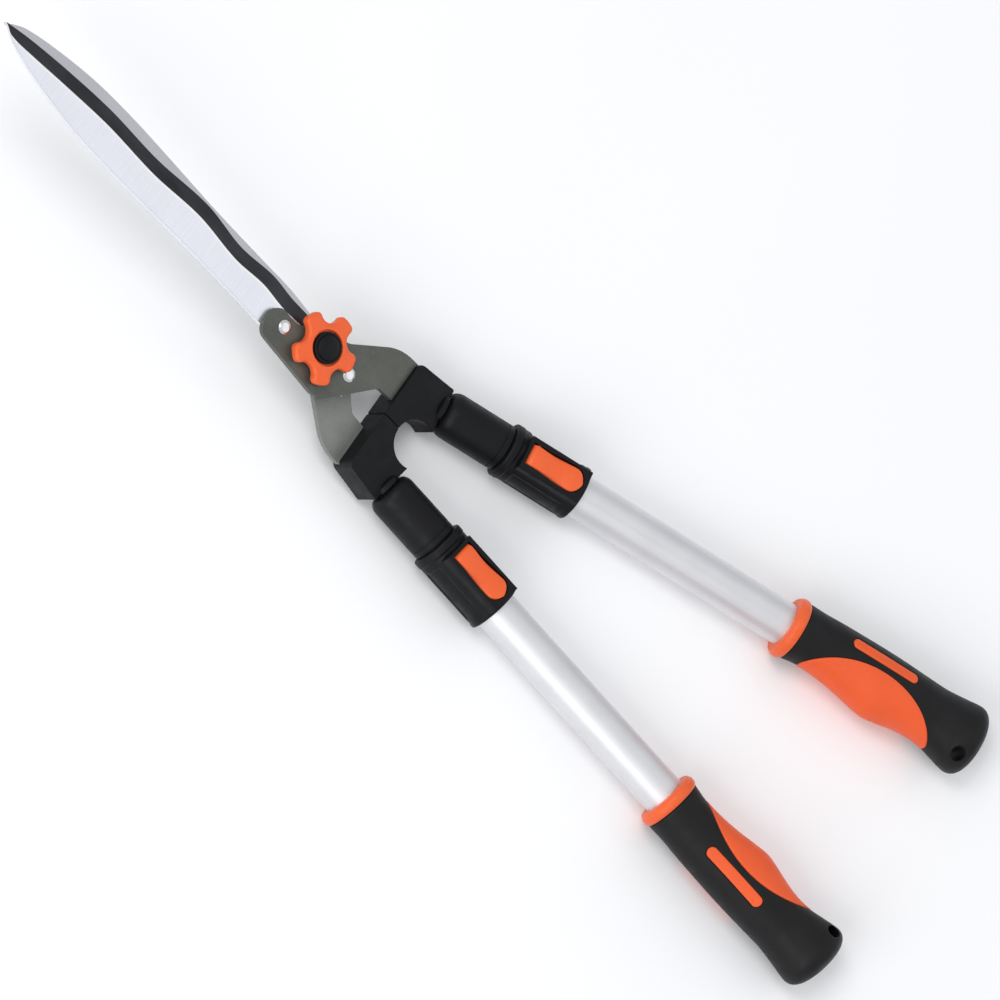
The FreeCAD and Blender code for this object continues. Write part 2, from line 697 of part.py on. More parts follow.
def make_collar(prefix, frame):
    """The sliding collar with a housing for the lever, the shoe and their pin."""
    shell = turned(f"{prefix}_collar_shell", [
        ("collar_start", "collar_bore"), ("collar_start", "collar_radius - 1.6"),
        ("collar_start + 1.6", "collar_radius"), ("collar_end - 1.5", "collar_radius"),
        ("collar_end", "collar_radius - 1.2"), ("collar_end", "outer_tube_radius"),
        ("outer_tube_start", "outer_tube_radius"), ("outer_tube_start", "collar_bore"),
    ])
    half = value("housing_width") / 2
    start = value("housing_start")
    end = value("housing_end")
    foot = value("housing_foot")
    top = value("housing_top")
    housing_face = rounded_outline([
        (start, foot, 0), (start, top, value("housing_front_round")),
        (end, top, value("housing_back_round")), (end, foot, 0),
    ])
    housing_block = plate(f"{prefix}_housing_block", housing_face, "0", "housing_width", UPRIGHT,
                          symmetric=True)
    housing = fillet(f"{prefix}_housing", housing_block, "housing_edge_round", lambda edge: (
        abs(abs(edge.CenterOfMass.y) - half) < TOUCH and edge.BoundBox.ZMin > foot + TOUCH))
    bore = rod(f"{prefix}_collar_clear", "outer_tube_radius", "outer_tube_start", "collar_end + 1")
    front_bore = rod(f"{prefix}_collar_clear_front", "collar_bore", "collar_start - 1", "outer_tube_start")
    gap = value("moving_gap")
    slot = plate(f"{prefix}_lever_slot", lever_outline(value("lever_start") - gap, gap),
                 "lever_bottom - moving_gap", "lever_top")
    cam_room = rod_across(f"{prefix}_cam_room", "cam_radius + moving_gap", "lever_width + 2 * moving_gap")
    pin_bore = rod_across(f"{prefix}_pin_bore", "lever_pin_radius", "lever_width + 2 * lever_pin_overhang")
    shoe_room = box(f"{prefix}_shoe_room",
                    ("shoe_start - moving_gap", "-shoe_width / 2 - moving_gap", "0"),
                    ("shoe_end - shoe_start + 2 * moving_gap", "shoe_width + 2 * moving_gap",
                     "shoe_top + moving_gap"))
    solid = fuse(f"{prefix}_collar_solid", shell, housing)
    collar = cut(f"{prefix}_collar_cut", solid, bore, front_bore, slot, cam_room, pin_bore, shoe_room)
    keep(collar, f"{prefix}_collar", frame)
    pin = rod_across(f"{prefix}_pin_rod", "lever_pin_radius", "lever_width + 2 * lever_pin_overhang")
    keep(pin, f"{prefix}_lever_pin", frame)


def rod_across(name, radius, length):
    """A cylinder along Y through the lever's pin, centred on the handle."""
    return cylinder(name, radius, length, ("lever_pin_station", f"-({length}) / 2", "lever_pin_height"),
                    ALONG_Y)


def make_lever(prefix, frame):
    """The cam lever: a flat finger piece behind the pin, and a round nose about it that is the cam."""
    blank = plate(f"{prefix}_lever_blank", lever_outline(value("lever_pin_station"), 0.0), "lever_bottom",
                  "lever_top - lever_bottom")
    top = value("lever_top")
    middle = value("lever_pin_station")
    rounded = fillet(f"{prefix}_lever_rounded", blank, "lever_edge_round", lambda edge: (
        abs(edge.BoundBox.ZMin - top) < TOUCH and edge.CenterOfMass.x > middle + TOUCH))
    cam = rod_across(f"{prefix}_cam", "cam_radius", "lever_width")
    solid = fuse(f"{prefix}_lever_solid", rounded, cam)
    bore = rod_across(f"{prefix}_lever_bore", "lever_pin_radius + lever_pin_clearance", "2 * lever_width")
    keep(cut(f"{prefix}_lever_cut", solid, bore), f"{prefix}_lever", frame)


def make_shoe(prefix, frame):
    """The clamp shoe between the cam and the inner tube, hollowed to the tube's round."""
    block = box(f"{prefix}_shoe_block", ("shoe_start", "-shoe_width / 2", "shoe_bottom"),
                ("shoe_end - shoe_start", "shoe_width", "shoe_top - shoe_bottom"))
    tube = rod(f"{prefix}_shoe_tube", "inner_tube_radius + moving_gap", "shoe_start - 1", "shoe_end + 1")
    cam = rod_across(f"{prefix}_shoe_cam", "cam_radius + 0.1", "2 * shoe_width")
    keep(cut(f"{prefix}_shoe_cut", block, tube, cam), f"{prefix}_clamp_shoe", frame)


# station from the front of the sleeve, half width outward, half width inward, half height
GRIP_SECTIONS = (
    (239.5, 17.6, 17.2, 16.9),
    (250.0, 17.5, 15.7, 16.4),
    (262.0, 18.0, 15.9, 16.6),
    (276.0, 18.3, 17.6, 17.2),
    (288.0, 18.5, 20.0, 17.8),
    (297.0, 18.5, 21.4, 18.0),
    (306.0, 18.3, 20.2, 17.8),
    (321.0, 17.7, 17.6, 17.2),
    (333.0, 17.5, 17.8, 17.0),
    (345.0, 18.6, 20.8, 18.2),
    (354.0, 19.6, 23.0, 19.4),
    (360.0, 18.0, 21.4, 18.4),
    (364.4, 12.0, 14.5, 12.8),
)


def grip_body(prefix, inward):
    """The full outer shape of a grip, lofted through oval sections and closed by a rounded butt."""
    sections = []
    for station, outer, inner, height in GRIP_SECTIONS:
        wide = (outer + inner) / 2 >= height
        oval = document.addObject("Part::Ellipse", f"{prefix}_section")
        oval.MajorRadius = max((outer + inner) / 2, height)
        oval.MinorRadius = min((outer + inner) / 2, height)
        across = Vector(0, 1, 0) if wide else Vector(0, 0, 1)
        turn = Rotation(across, Vector(1, 0, 0).cross(across), Vector(1, 0, 0), "ZXY")
        oval.Placement = Placement(Vector(station, inward * (inner - outer) / 2, 0), turn)
        sections.append(oval)
    loft = document.addObject("Part::Loft", f"{prefix}_grip_loft")
    loft.Sections = sections
    loft.Solid = True
    loft.Ruled = False
    return loft


def leaf_outline(inward):
    """The inlay on the inner side of a grip, seen from above: an arc that rises to the middle."""
    start = (244.0, 22.0)
    peak = (292.0, -2.0)
    end = (340.0, 22.0)
    far = 30.0
    points = [Vector(x, inward * y, 0) for x, y in (start, peak, end, (end[0], far), (start[0], far))]
    return [
        Part.Arc(points[0], points[1], points[2]),
        Part.LineSegment(points[2], points[3]),
        Part.LineSegment(points[3], points[4]),
        Part.LineSegment(points[4], points[0]),
    ]


def make_grip(prefix, side, frame):
    """The grip with its two inlays, the ring in front of it and the hang hole in its butt."""
    inward = side
    whole = grip_body(prefix, inward)
    bore = rod(f"{prefix}_grip_bore", "outer_tube_radius", "grip_start - 1", "outer_tube_end")
    core = rod(f"{prefix}_inlay_core", "inlay_depth_radius", "grip_start - 1", "butt_end + 1")
    layer = cut(f"{prefix}_grip_layer", whole, core)
    leaf = plate(f"{prefix}_leaf", leaf_outline(inward), "0", "80", symmetric=True)
    belly = common(f"{prefix}_belly", layer, leaf)
    offset = -inward * value("side_inlay_offset")
    half_long = value("side_inlay_length") / 2
    half_wide = value("side_inlay_width") / 2
    middle = value("side_inlay_station")
    bar = rounded_outline([
        (middle - half_long, offset - half_wide, half_wide * 0.96),
        (middle + half_long, offset - half_wide, half_wide * 0.96),
        (middle + half_long, offset + half_wide, half_wide * 0.96),
        (middle - half_long, offset + half_wide, half_wide * 0.96),
    ])
    bar_prism = plate(f"{prefix}_bar", bar, "0", "80", symmetric=True)
    bars = common(f"{prefix}_bars", layer, bar_prism)
    hole = cylinder(f"{prefix}_hang_hole", "hang_hole_radius", "80",
                    ("hang_hole_station", f"{inward} * hang_hole_offset", "-40"))
    keep(cut(f"{prefix}_grip_cut", whole, bore, belly, bars, hole), f"{prefix}_grip", frame)
    keep(belly, f"{prefix}_belly_inlay", frame)
    keep(bars, f"{prefix}_side_inlays", frame)
    ring = turned(f"{prefix}_ring_body", [
        ("ring_start", "outer_tube_radius"), ("ring_start", "ring_radius - 3"),
        ("ring_start + 1.2", "ring_radius - 0.8"), ("ring_start + 2.6", "ring_radius"),
        ("grip_start - 2.6", "ring_radius"), ("grip_start", "ring_radius - 1.0"),
        ("grip_start", "outer_tube_radius"),
    ])
    keep(ring, f"{prefix}_grip_ring", frame)


def make_sliding_handle(prefix, side):
    """The parts of a handle that slide out: outer tube, collar, lever, shoe and grip."""
    frame = handle_frame(side)
    tube = turned(f"{prefix}_outer_tube_body", [
        ("outer_tube_start", "outer_tube_bore"), ("outer_tube_start", "outer_tube_radius"),
        ("outer_tube_end", "outer_tube_radius"), ("outer_tube_end", "outer_tube_bore"),
    ])
    keep(tube, f"{prefix}_outer_tube", frame)
    make_collar(prefix, frame)
    make_lever(prefix, frame)
    make_shoe(prefix, frame)
    make_grip(prefix, side, frame)


# ---------------------------------------------------------------- assembly

def build():
    make_blade("front_blade", TOOL)
    make_blade("rear_blade", FLIPPED)
    make_rivets("front_rivets", TOOL)
    make_rivets("rear_rivets", FLIPPED)
    make_pivot()
    make_wave_washer()
    make_knob()
    make_knob_cap()
    for prefix, side in (("front", -1), ("rear", 1)):
        arm = make_arm(f"{prefix}_arm", side)
        make_bumper(f"{prefix}_bumper", f"{prefix}_bumper_pad", side, arm)
        keep(arm, f"{prefix}_arm", TOOL)
        make_fixed_handle(prefix, side)
        make_sliding_handle(prefix, side)


def seat_placement():
    """Lean the tool back onto its handles and put the origin under the middle of it."""
    lean = Placement(Vector(), Rotation(Vector(0, 1, 0), -value("rest_lean")))
    bounds = FreeCAD.BoundBox()
    for item, frame in sub_parts:
        shape = item.Shape.copy()
        shape.Placement = lean.multiply(frame)
        bounds.add(shape.optimalBoundingBox(False))
    shift = Vector(-(bounds.XMin + bounds.XMax) / 2, -(bounds.YMin + bounds.YMax) / 2, -bounds.ZMin)
    return Placement(shift, Rotation()).multiply(lean)


def check_document():
    """Stop if any object failed to build or any sub-part's shape is missing or invalid."""
    for item in document.Objects:
        if "Invalid" in item.State or "Error" in item.State:
            raise RuntimeError(f"{item.Label} failed: {item.State}")
    for item, _ in sub_parts:
        if item.Shape.isNull() or not item.Shape.isValid():
            raise RuntimeError(f"{item.Label} has no valid shape")


def export():
    os.makedirs("parts", exist_ok=True)
    for item, _ in sub_parts:
        item.Shape.exportStep(f"parts/{item.Label}.step")
        print(f"{item.Label}: {len(item.Shape.Solids)} solids, {item.Shape.Volume / 1000:.2f} cm3")


build()
document.recompute()
seat = seat_placement()
for item, frame in sub_parts:
    item.Placement = seat.multiply(frame)
document.recompute()
check_document()
export()
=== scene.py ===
"""The looks of the telescopic hedge shears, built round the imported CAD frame.

Named sizes and mesh points are millimetres and become metres when a mesh is made.
Tool frame: +X from the pivot to the blade tips, +Z to the knob side, origin where the blades shear.
Handle frame: +X from the front of the sleeve to the butt, +Z up, +Y sideways.
"""
import json
import math

import bmesh
import bpy
from mathutils import Matrix, Vector


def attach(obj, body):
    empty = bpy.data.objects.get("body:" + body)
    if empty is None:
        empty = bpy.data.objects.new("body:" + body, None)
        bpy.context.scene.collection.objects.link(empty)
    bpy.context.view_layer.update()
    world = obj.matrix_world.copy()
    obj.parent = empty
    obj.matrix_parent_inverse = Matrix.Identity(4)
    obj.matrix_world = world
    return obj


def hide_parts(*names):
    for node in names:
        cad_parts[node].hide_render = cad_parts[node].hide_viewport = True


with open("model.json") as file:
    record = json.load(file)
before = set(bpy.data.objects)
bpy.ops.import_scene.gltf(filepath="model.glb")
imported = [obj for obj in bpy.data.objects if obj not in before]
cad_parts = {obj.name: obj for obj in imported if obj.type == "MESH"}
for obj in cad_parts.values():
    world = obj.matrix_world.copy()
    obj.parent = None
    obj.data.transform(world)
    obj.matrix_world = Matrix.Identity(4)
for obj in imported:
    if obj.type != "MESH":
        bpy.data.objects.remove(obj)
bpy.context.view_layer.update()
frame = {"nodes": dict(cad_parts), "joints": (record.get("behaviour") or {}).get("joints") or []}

MM = 0.001
TURN = math.tau
SMOOTH_ANGLE = math.radians(32)
# the side of the tool, along its Y, that each half's handle lies on; a handle's own Y runs the other way,
# so the same sign points inward there
SIDES = {"front": -1, "rear": 1}

# ---- frames

joints = {joint["name"]: joint for joint in frame["joints"]}
LEVER_PIN = Vector((54.7, 0, 16.6))


def frame_matrix(origin, x_axis, z_axis):
    """The matrix of a frame from its origin, its X axis and its Z axis, in metres."""
    x_axis, z_axis = x_axis.normalized(), z_axis.normalized()
    matrix = Matrix((x_axis, z_axis.cross(x_axis), z_axis)).transposed().to_4x4()
    matrix.translation = origin
    return matrix


def tool_frame():
    pivot = joints["blade_pivot"]
    up = Vector(pivot["axis"])
    return frame_matrix(Vector(pivot["pos_m"]), Vector((0, 1, 0)).cross(up), up)


def handle_frame(prefix):
    along = Vector(joints[f"{prefix}_extend"]["axis"])
    lift = joints[f"{prefix}_lever_lift"]
    up = Vector(lift["axis"]).cross(along)
    start = Vector(lift["pos_m"]) - along * LEVER_PIN.x * MM - up * LEVER_PIN.z * MM
    return frame_matrix(start, along, up)


TOOL = tool_frame()
HALVES = {"front": TOOL, "rear": TOOL @ Matrix.Rotation(math.pi, 4, "X")}
HANDLES = {prefix: handle_frame(prefix) for prefix in SIDES}


# ---- outlines and profiles

def rounded(corners, closed=True, steps=6):
    """Points along a polygon of (x, y, radius) whose corners are arcs."""
    points = []
    count = len(corners)
    for index, (x, y, radius) in enumerate(corners):
        at_end = not closed and index in (0, count - 1)
        if radius == 0 or at_end:
            points.append((x, y))
            continue
        here = Vector((x, y))
        before = (Vector(corners[index - 1][:2]) - here).normalized()
        after = (Vector(corners[(index + 1) % count][:2]) - here).normalized()
        half = before.angle(after) / 2
        start = here + before * (radius / math.tan(half))
        centre = here + (before + after).normalized() * (radius / math.sin(half))
        turn = math.copysign(math.pi - 2 * half, after.cross(before))
        for step in range(steps + 1):
            arm = start - centre
            arm.rotate(Matrix.Rotation(turn * step / steps, 2))
            points.append(tuple(centre + arm))
    return points


def arc(centre, radius, start, end, steps):
    """Points on an arc, from one angle to another in degrees."""
    angles = [math.radians(start + (end - start) * step / steps) for step in range(steps + 1)]
    return [(centre[0] + radius * math.cos(a), centre[1] + radius * math.sin(a)) for a in angles]


def inset(outline, distance):
    """A closed outline moved in by a distance along its corners' mitres."""
    area = sum(a[0] * b[1] - b[0] * a[1] for a, b in zip(outline, outline[1:] + outline[:1]))
    inward = math.copysign(1, area)
    moved = []
    count = len(outline)
    for index, here in enumerate(outline):
        here = Vector(here)
        before = (here - Vector(outline[index - 1])).normalized()
        after = (Vector(outline[(index + 1) % count]) - here).normalized()
        normal = Vector((-(before.y + after.y), before.x + after.x)).normalized() * inward
        straight = max(0.35, normal.dot(Vector((-after.y, after.x)) * inward))
        moved.append(tuple(here + normal * distance / straight))
    return moved


def through(points):
    """A smooth function through (x, y, ...) rows, by cubic pieces between them."""
    def slope(index):
        low, high = max(index - 1, 0), min(index + 1, len(points) - 1)
        run = points[high][0] - points[low][0]
        return [(b - a) / run for a, b in zip(points[low][1:], points[high][1:])]

    def at(x):
        x = min(max(x, points[0][0]), points[-1][0])
        index = max(n for n in range(len(points) - 1) if points[n][0] <= x)
        run = points[index + 1][0] - points[index][0]
        t = (x - points[index][0]) / run
        weights = (2 * t**3 - 3 * t**2 + 1, t**3 - 2 * t**2 + t, 3 * t**2 - 2 * t**3, t**3 - t**2)
        rows = zip(points[index][1:], slope(index), points[index + 1][1:], slope(index + 1))
        return [weights[0] * a + weights[1] * run * m + weights[2] * b + weights[3] * run * n
                for a, m, b, n in rows]
    return at


def spread(start, end, step):
    """Evenly spaced numbers from start to end, about a step apart."""
    count = max(1, round(abs(end - start) / step))
    return [start + (end - start) * n / count for n in range(count + 1)]


def clamp(share):
    return min(1.0, max(0.0, share))


def blend_up(x, start, end):
    """0 before start, 1 after end, and a smooth step between."""
    t = clamp((x - start) / (end - start))
    return t * t * (3 - 2 * t)


def plateau(x, rise, top, fall, end):
    """0 outside rise to end, 1 from top to fall, and smooth steps between."""
    return blend_up(x, rise, top) * (1 - blend_up(x, fall, end))


# ---- meshes

def turned(profile, axis="X", count=96):
    """Rings of a profile of (station, radius) about X or Z."""
    rings = []
    angles = [TURN * step / count for step in range(count)]
    for station, radius in profile:
        flat = [(radius * math.cos(a), radius * math.sin(a)) for a in angles]
        rings.append([(station, a, b) if axis == "X" else (a, b, station) for a, b in flat])
    return rings


def shifted(rings, at):
    """Rings moved by an (x, y) or (x, y, z) step."""
    step = Vector((*at, 0)[:3])
    return [[tuple(Vector(point) + step) for point in ring] for ring in rings]


def skin(rings, caps=True, loop=False, tones=None):
    """Corners and faces of a skin over rings of equally many points, with a tone for each column."""
    width = len(rings[0])
    corners = [point for ring in rings for point in ring]
    faces = []
    shades = []
    pairs = len(rings) if loop else len(rings) - 1
    for row in range(pairs):
        here, there = row * width, ((row + 1) % len(rings)) * width
        for column in range(width):
            after = (column + 1) % width
            faces.append((here + column, here + after, there + after, there + column))
            shades.append(tones[column] if tones else 0)
    if caps and not loop:
        last = (len(rings) - 1) * width
        faces.append(tuple(range(width)))
        faces.append(tuple(range(last + width - 1, last - 1, -1)))
        shades += [0, 0]
    return corners, faces, shades


def make_mesh(name, *skins):
    """One mesh of closed skins, given in millimetres, with coincident points joined."""
    mesh = bpy.data.meshes.new(name)
    shape = bmesh.new()
    for corners, faces, shades in skins:
        points = [shape.verts.new(Vector(corner) * MM) for corner in corners]
        for face, shade in zip(faces, shades):
            made = shape.faces.new([points[index] for index in face])
            made.material_index = shade
    bmesh.ops.remove_doubles(shape, verts=shape.verts, dist=0.002 * MM)
    bmesh.ops.dissolve_degenerate(shape, edges=shape.edges, dist=0.001 * MM)
    bmesh.ops.recalc_face_normals(shape, faces=shape.faces)
    shape.to_mesh(mesh)
    shape.free()
    return mesh


def solid(name, *skins):
    """A new object of closed skins, in its own frame."""
    item = bpy.data.objects.new(name, make_mesh(name, *skins))
    bpy.context.scene.collection.objects.link(item)
    return item


def drill(radius, low, high, count, at=(0, 0)):
    """A round cutter along Z."""
    return solid("drill", skin(shifted(turned([(low, radius), (high, radius)], "Z", count), at)))


def settle(item):
    """Turn an object's modifiers into plain mesh."""
    made = bpy.data.meshes.new_from_object(item.evaluated_get(bpy.context.evaluated_depsgraph_get()))
    item.modifiers.clear()
    old = item.data
    item.data = made
    bpy.data.meshes.remove(old)


def combine(item, operation, *tools):
    """Cut tools away from an object, or join them to it, and remove them."""
    for tool in tools:
        step = item.modifiers.new(operation.lower(), "BOOLEAN")
        step.operation = operation
        step.solver = "EXACT"
        step.object = tool
        settle(item)
        bpy.data.objects.remove(tool)
    return item


def bevelled(item, width, segments, angle):
    """Round an object's sharp edges."""
    step = item.modifiers.new("edges", "BEVEL")
    step.width = width * MM
    step.segments = segments
    step.limit_method = "ANGLE"
    step.angle_limit = math.radians(angle)
    settle(item)
    return item


def fit(item, place, body, look, slot, *nodes):
    """Put a finished piece in its frame, give it its looks and let it ride on its body."""
    for layer in look if isinstance(look, list) else [look]:
        item.data.materials.append(layer)
    item.data.shade_smooth()
    item.data.set_sharp_from_angle(angle=SMOOTH_ANGLE)
    item.matrix_world = place
    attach(item, body)
    if nodes:
        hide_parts(*nodes)
    return item


# ---- materials

NOISE_MIDDLE = (0.3, 0.7)


class Look:
    """A material's node tree, with short ways to add the nodes that all materials share."""

    def __init__(self, name, colour, roughness, metallic=0.0, specular=0.5):
        self.material = bpy.data.materials.new(name)
        self.material.use_nodes = True
        self.tree = self.material.node_tree
        self.shader = self.tree.nodes["Principled BSDF"]
        self.shader.inputs["Base Color"].default_value = (*colour, 1)
        self.shader.inputs["Roughness"].default_value = roughness
        self.shader.inputs["Metallic"].default_value = metallic
        self.shader.inputs["Specular IOR Level"].default_value = specular
        self.material.diffuse_color = (*colour, 1)
        self.height = None
        self.colour = None

    def node(self, kind, **settings):
        made = self.tree.nodes.new(kind)
        for name, setting in settings.items():
            setattr(made, name, setting)
        return made

    def link(self, output, target):
        self.tree.links.new(output, target)
        return self

    def place(self, scale, turn=(0, 0, 0)):
        """The piece's own coordinates, stretched, so that a pattern stays with the piece."""
        coordinates = self.node("ShaderNodeTexCoord")
        mapping = self.node("ShaderNodeMapping")
        mapping.inputs["Scale"].default_value = scale
        mapping.inputs["Rotation"].default_value = turn
        self.link(coordinates.outputs["Object"], mapping.inputs["Vector"])
        return mapping.outputs["Vector"]

    def noise(self, scale, detail=3.0, stretch=(1, 1, 1), turn=(0, 0, 0)):
        """Cloudy noise; scale is features per metre."""
        made = self.node("ShaderNodeTexNoise")
        made.inputs["Scale"].default_value = scale
        made.inputs["Detail"].default_value = detail
        self.link(self.place(stretch, turn), made.inputs["Vector"])
        return made.outputs["Fac"]

    def cells(self, scale, stretch=(1, 1, 1)):
        made = self.node("ShaderNodeTexVoronoi")
        made.inputs["Scale"].default_value = scale
        self.link(self.place(stretch), made.inputs["Vector"])
        return made.outputs["Distance"]

    def ranged(self, source, low, high):
        """Stretch the middle of a pattern to a range."""
        made = self.node("ShaderNodeMapRange")
        for name, number in zip(("From Min", "From Max", "To Min", "To Max"), (*NOISE_MIDDLE, low, high)):
            made.inputs[name].default_value = number
        self.link(source, made.inputs["Value"])
        return made.outputs["Result"]

    def tint(self, source, other, most=1.0):
        """Blend the colour towards another by a pattern, by this much at most."""
        blend = self.node("ShaderNodeMix", data_type="RGBA")
        if self.colour is None:
            blend.inputs["A"].default_value = self.shader.inputs["Base Color"].default_value
        else:
            self.link(self.colour, blend.inputs["A"])
        blend.inputs["B"].default_value = (*other, 1)
        self.link(self.ranged(source, 0.0, most), blend.inputs["Factor"])
        self.colour = blend.outputs["Result"]
        self.link(self.colour, self.shader.inputs["Base Color"])
        return self

    def rough(self, source, low, high):
        return self.link(self.ranged(source, low, high), self.shader.inputs["Roughness"])

    def bump(self, source, depth):
        """Add a height pattern; depth is in millimetres."""
        made = self.node("ShaderNodeBump")
        made.inputs["Distance"].default_value = depth * MM
        self.link(source, made.inputs["Height"])
        if self.height is not None:
            self.link(self.height, made.inputs["Normal"])
        self.height = made.outputs["Normal"]
        return self.link(self.height, self.shader.inputs["Normal"])


def moulded_black(name, colour, rough, grain, depth):
    """Black plastic with a fine spark-eroded grain, a little greyer where it has been rubbed."""
    look = Look(name, colour, sum(rough) / 2, specular=0.22)
    lighter = tuple(channel * 1.9 for channel in colour)
    look.tint(look.noise(55, 4), lighter, 0.5)
    look.rough(look.noise(160, 3), *rough)
    look.bump(look.noise(grain, 2), depth)
    look.bump(look.cells(grain * 0.6), depth * 0.6)
    return look.material


def moulded_orange(name, colour, rough, grain, depth):
    """Orange plastic or rubber with a satin skin and faint flow marks."""
    look = Look(name, colour, sum(rough) / 2, specular=0.3)
    look.tint(look.noise(45, 3), tuple(channel * 0.86 for channel in colour), 0.6)
    look.tint(look.noise(900, 2), tuple(min(1, channel * 1.12) for channel in colour), 0.35)
    look.rough(look.noise(220, 3), *rough)
    look.bump(look.noise(grain, 2), depth)
    return look.material


def drawn_aluminium():
    """Anodised tube: fine drawing lines along it, and a soft cloudy sheen."""
    look = Look("aluminium_tube", (0.78, 0.78, 0.795), 0.5, 1.0)
    look.tint(look.noise(60, 3), (0.72, 0.72, 0.74), 0.6)
    streaks = look.noise(1.0, 4, (6, 1500, 1500))
    look.rough(streaks, 0.46, 0.58)
    look.bump(streaks, 0.012)
    look.bump(look.noise(2600, 2), 0.003)
    return look.material


def ground_steel(name, colour):
    """Blade steel with grinding lines across it."""
    look = Look(name, colour, 0.3, 1.0)
    look.tint(look.noise(25, 3), tuple(channel * 0.93 for channel in colour), 0.7)
    lines = look.noise(1.0, 3, (2200, 22, 60), (0, 0, math.radians(6)))
    look.rough(lines, 0.24, 0.40)
    look.bump(lines, 0.006)
    return look.material


def painted_dark_bevel():
    """The cutting bevel's band: painted nearly black as a painted dark reflection, where the ground bevel
    mirrors dark surroundings, with a faint lighter bloom along it.
    """
    look = Look("bevel_steel_painted_dark", (0.027, 0.028, 0.032), 0.36, 0.85)
    look.tint(look.noise(90, 4, (0.4, 1, 1)), (0.055, 0.055, 0.060), 0.8)
    lines = look.noise(1.0, 3, (60, 1900, 400))
    look.rough(lines, 0.28, 0.46)
    look.bump(lines, 0.006)
    return look.material


def plain_steel(name, colour, rough):
    look = Look(name, colour, sum(rough) / 2, 1.0)
    look.tint(look.noise(300, 3), tuple(channel * 0.85 for channel in colour), 0.6)
    look.rough(look.noise(700, 3), *rough)
    look.bump(look.noise(1800, 2), 0.004)
    return look.material


def coated_steel(name, colour, darker):
    """Pressed steel under a grey conversion coating: cloudy, with a trace of the rolling grain."""
    look = Look(name, colour, 0.42, 0.35)
    look.tint(look.noise(28, 3), darker, 0.9)
    look.tint(look.noise(900, 3), tuple(channel * 1.25 for channel in colour), 0.35)
    look.rough(look.noise(120, 4), 0.36, 0.52)
    look.bump(look.noise(1500, 3), 0.008)
    look.bump(look.noise(140, 2), 0.02)
    return look.material


BLACK = (0.0024, 0.0026, 0.0034)
ORANGE = (0.83, 0.122, 0.030)
NYLON = moulded_black("black_nylon", BLACK, (0.42, 0.58), 2600, 0.016)
GRIP_RUBBER = moulded_black("black_grip_rubber", (0.0065, 0.0065, 0.0070), (0.46, 0.60), 1900, 0.022)
PAD_RUBBER = moulded_black("black_pad_rubber", (0.010, 0.010, 0.011), (0.7, 0.85), 900, 0.03)
ORANGE_PLASTIC = moulded_orange("orange_plastic", ORANGE, (0.30, 0.42), 3000, 0.006)
ORANGE_RUBBER = moulded_orange("orange_rubber", (0.82, 0.108, 0.026), (0.46, 0.6), 2200, 0.014)
ALUMINIUM = drawn_aluminium()
BLADE_STEEL = ground_steel("ground_blade_steel", (0.83, 0.84, 0.90))
# a darker copy of the blade steel on the shearing face: painted shade where the rear blade shows beside the
# front blade's edge
SHADED_BACK_STEEL = ground_steel("back_steel_painted_shade", (0.50, 0.50, 0.53))
# the bevel band's near-black colour is a painted dark reflection
BAND_PAINTED_DARK = painted_dark_bevel()
# pure white metal on the thin strip beside the band is a painted highlight
PAINTED_HIGHLIGHT_LINE = plain_steel("highlight_line_steel_painted", (1.0, 1.0, 1.0), (0.30, 0.36))
ZINC = plain_steel("zinc_plated_steel", (0.86, 0.865, 0.87), (0.16, 0.28))
SPRING = plain_steel("spring_steel", (0.42, 0.42, 0.44), (0.26, 0.4))
ARM_LOOKS = {
    "front": coated_steel("front_arm_coating", (0.110, 0.117, 0.101), (0.060, 0.066, 0.056)),
    "rear": coated_steel("rear_arm_coating", (0.215, 0.222, 0.208), (0.160, 0.166, 0.156)),
}


# ---- blades

BLADE_REACH = 274.0
BLADE_TAIL = -32.0
BLADE_LOW = 0.15
BLADE_HIGH = 2.65
BLADE_BELLY = 16.5
TIP_START = BLADE_REACH - 1.2
TIP_HALF = 0.8
TIP_FADE = 14.0
TIP_THINNING = 1.0
BOLT_BORE = 4.06
RIVET_HOLE = 2.5
RIVET_PLACES = ((25.6, 7), (-24.5, -1.5))
# the tone of each side of a blade's section: 0 ground, 1 dark band (painted dark reflection), 2 bright line
# (painted highlight), 3 back (darker, painted shade)
BLADE_TONES = [0, 0, 0, 0, 0, 2, 2, 1, 1, 1, 1, 1, 0, 3]


def blade_section(x, spine, edge, line):
    """The blade cut across at a station: (y, z) round it."""
    top = spine(x)[0]
    low = edge(x)[0]
    if x > TIP_START:
        share = math.sqrt(max(0.0, 1 - ((x - TIP_START) / (BLADE_REACH - TIP_START)) ** 2))
        top, low = TIP_HALF * share, -TIP_HALF * share
    width = max(top - low, 0.01)
    soft = min(0.35, width * 0.2)
    spare = 0.02 + 0.18 * clamp((BLADE_REACH - 6 - x) / TIP_FADE)
    band = min(max(line(x)[0], low + 0.15 * width), top - spare * width)
    # the width of the slope that carries the painted highlight
    highlight_strip = min(0.5, 0.2 * (band - low))
    fade = clamp((BLADE_REACH - x) / TIP_FADE)
    land = BLADE_LOW + 0.75
    high = BLADE_HIGH - TIP_THINNING * blend_up(x, BLADE_REACH - 22, BLADE_REACH - 3)
    shoulder = high - 0.14 * fade
    hollow = (shoulder + land) / 2 - 0.16 * fade
    return [
        (top, BLADE_LOW), (top, high - soft), (top - soft * 0.3, high - soft * 0.3),
        (top - soft, high), (top - soft * 1.6, high),
        (band + 0.75 * fade, high), (band + 0.1, high),
        (band - highlight_strip, shoulder - 0.10 * fade),
        (band - highlight_strip - (band - highlight_strip - low) * 0.08, shoulder - 0.22 * fade),
        (low + (band - low) * 0.45, hollow),
        (low + min(0.9, 0.2 * (band - low)), land + 0.16), (low + 0.12 * min(1, width), land),
        (low, land - 0.12), (low, BLADE_LOW),
    ]


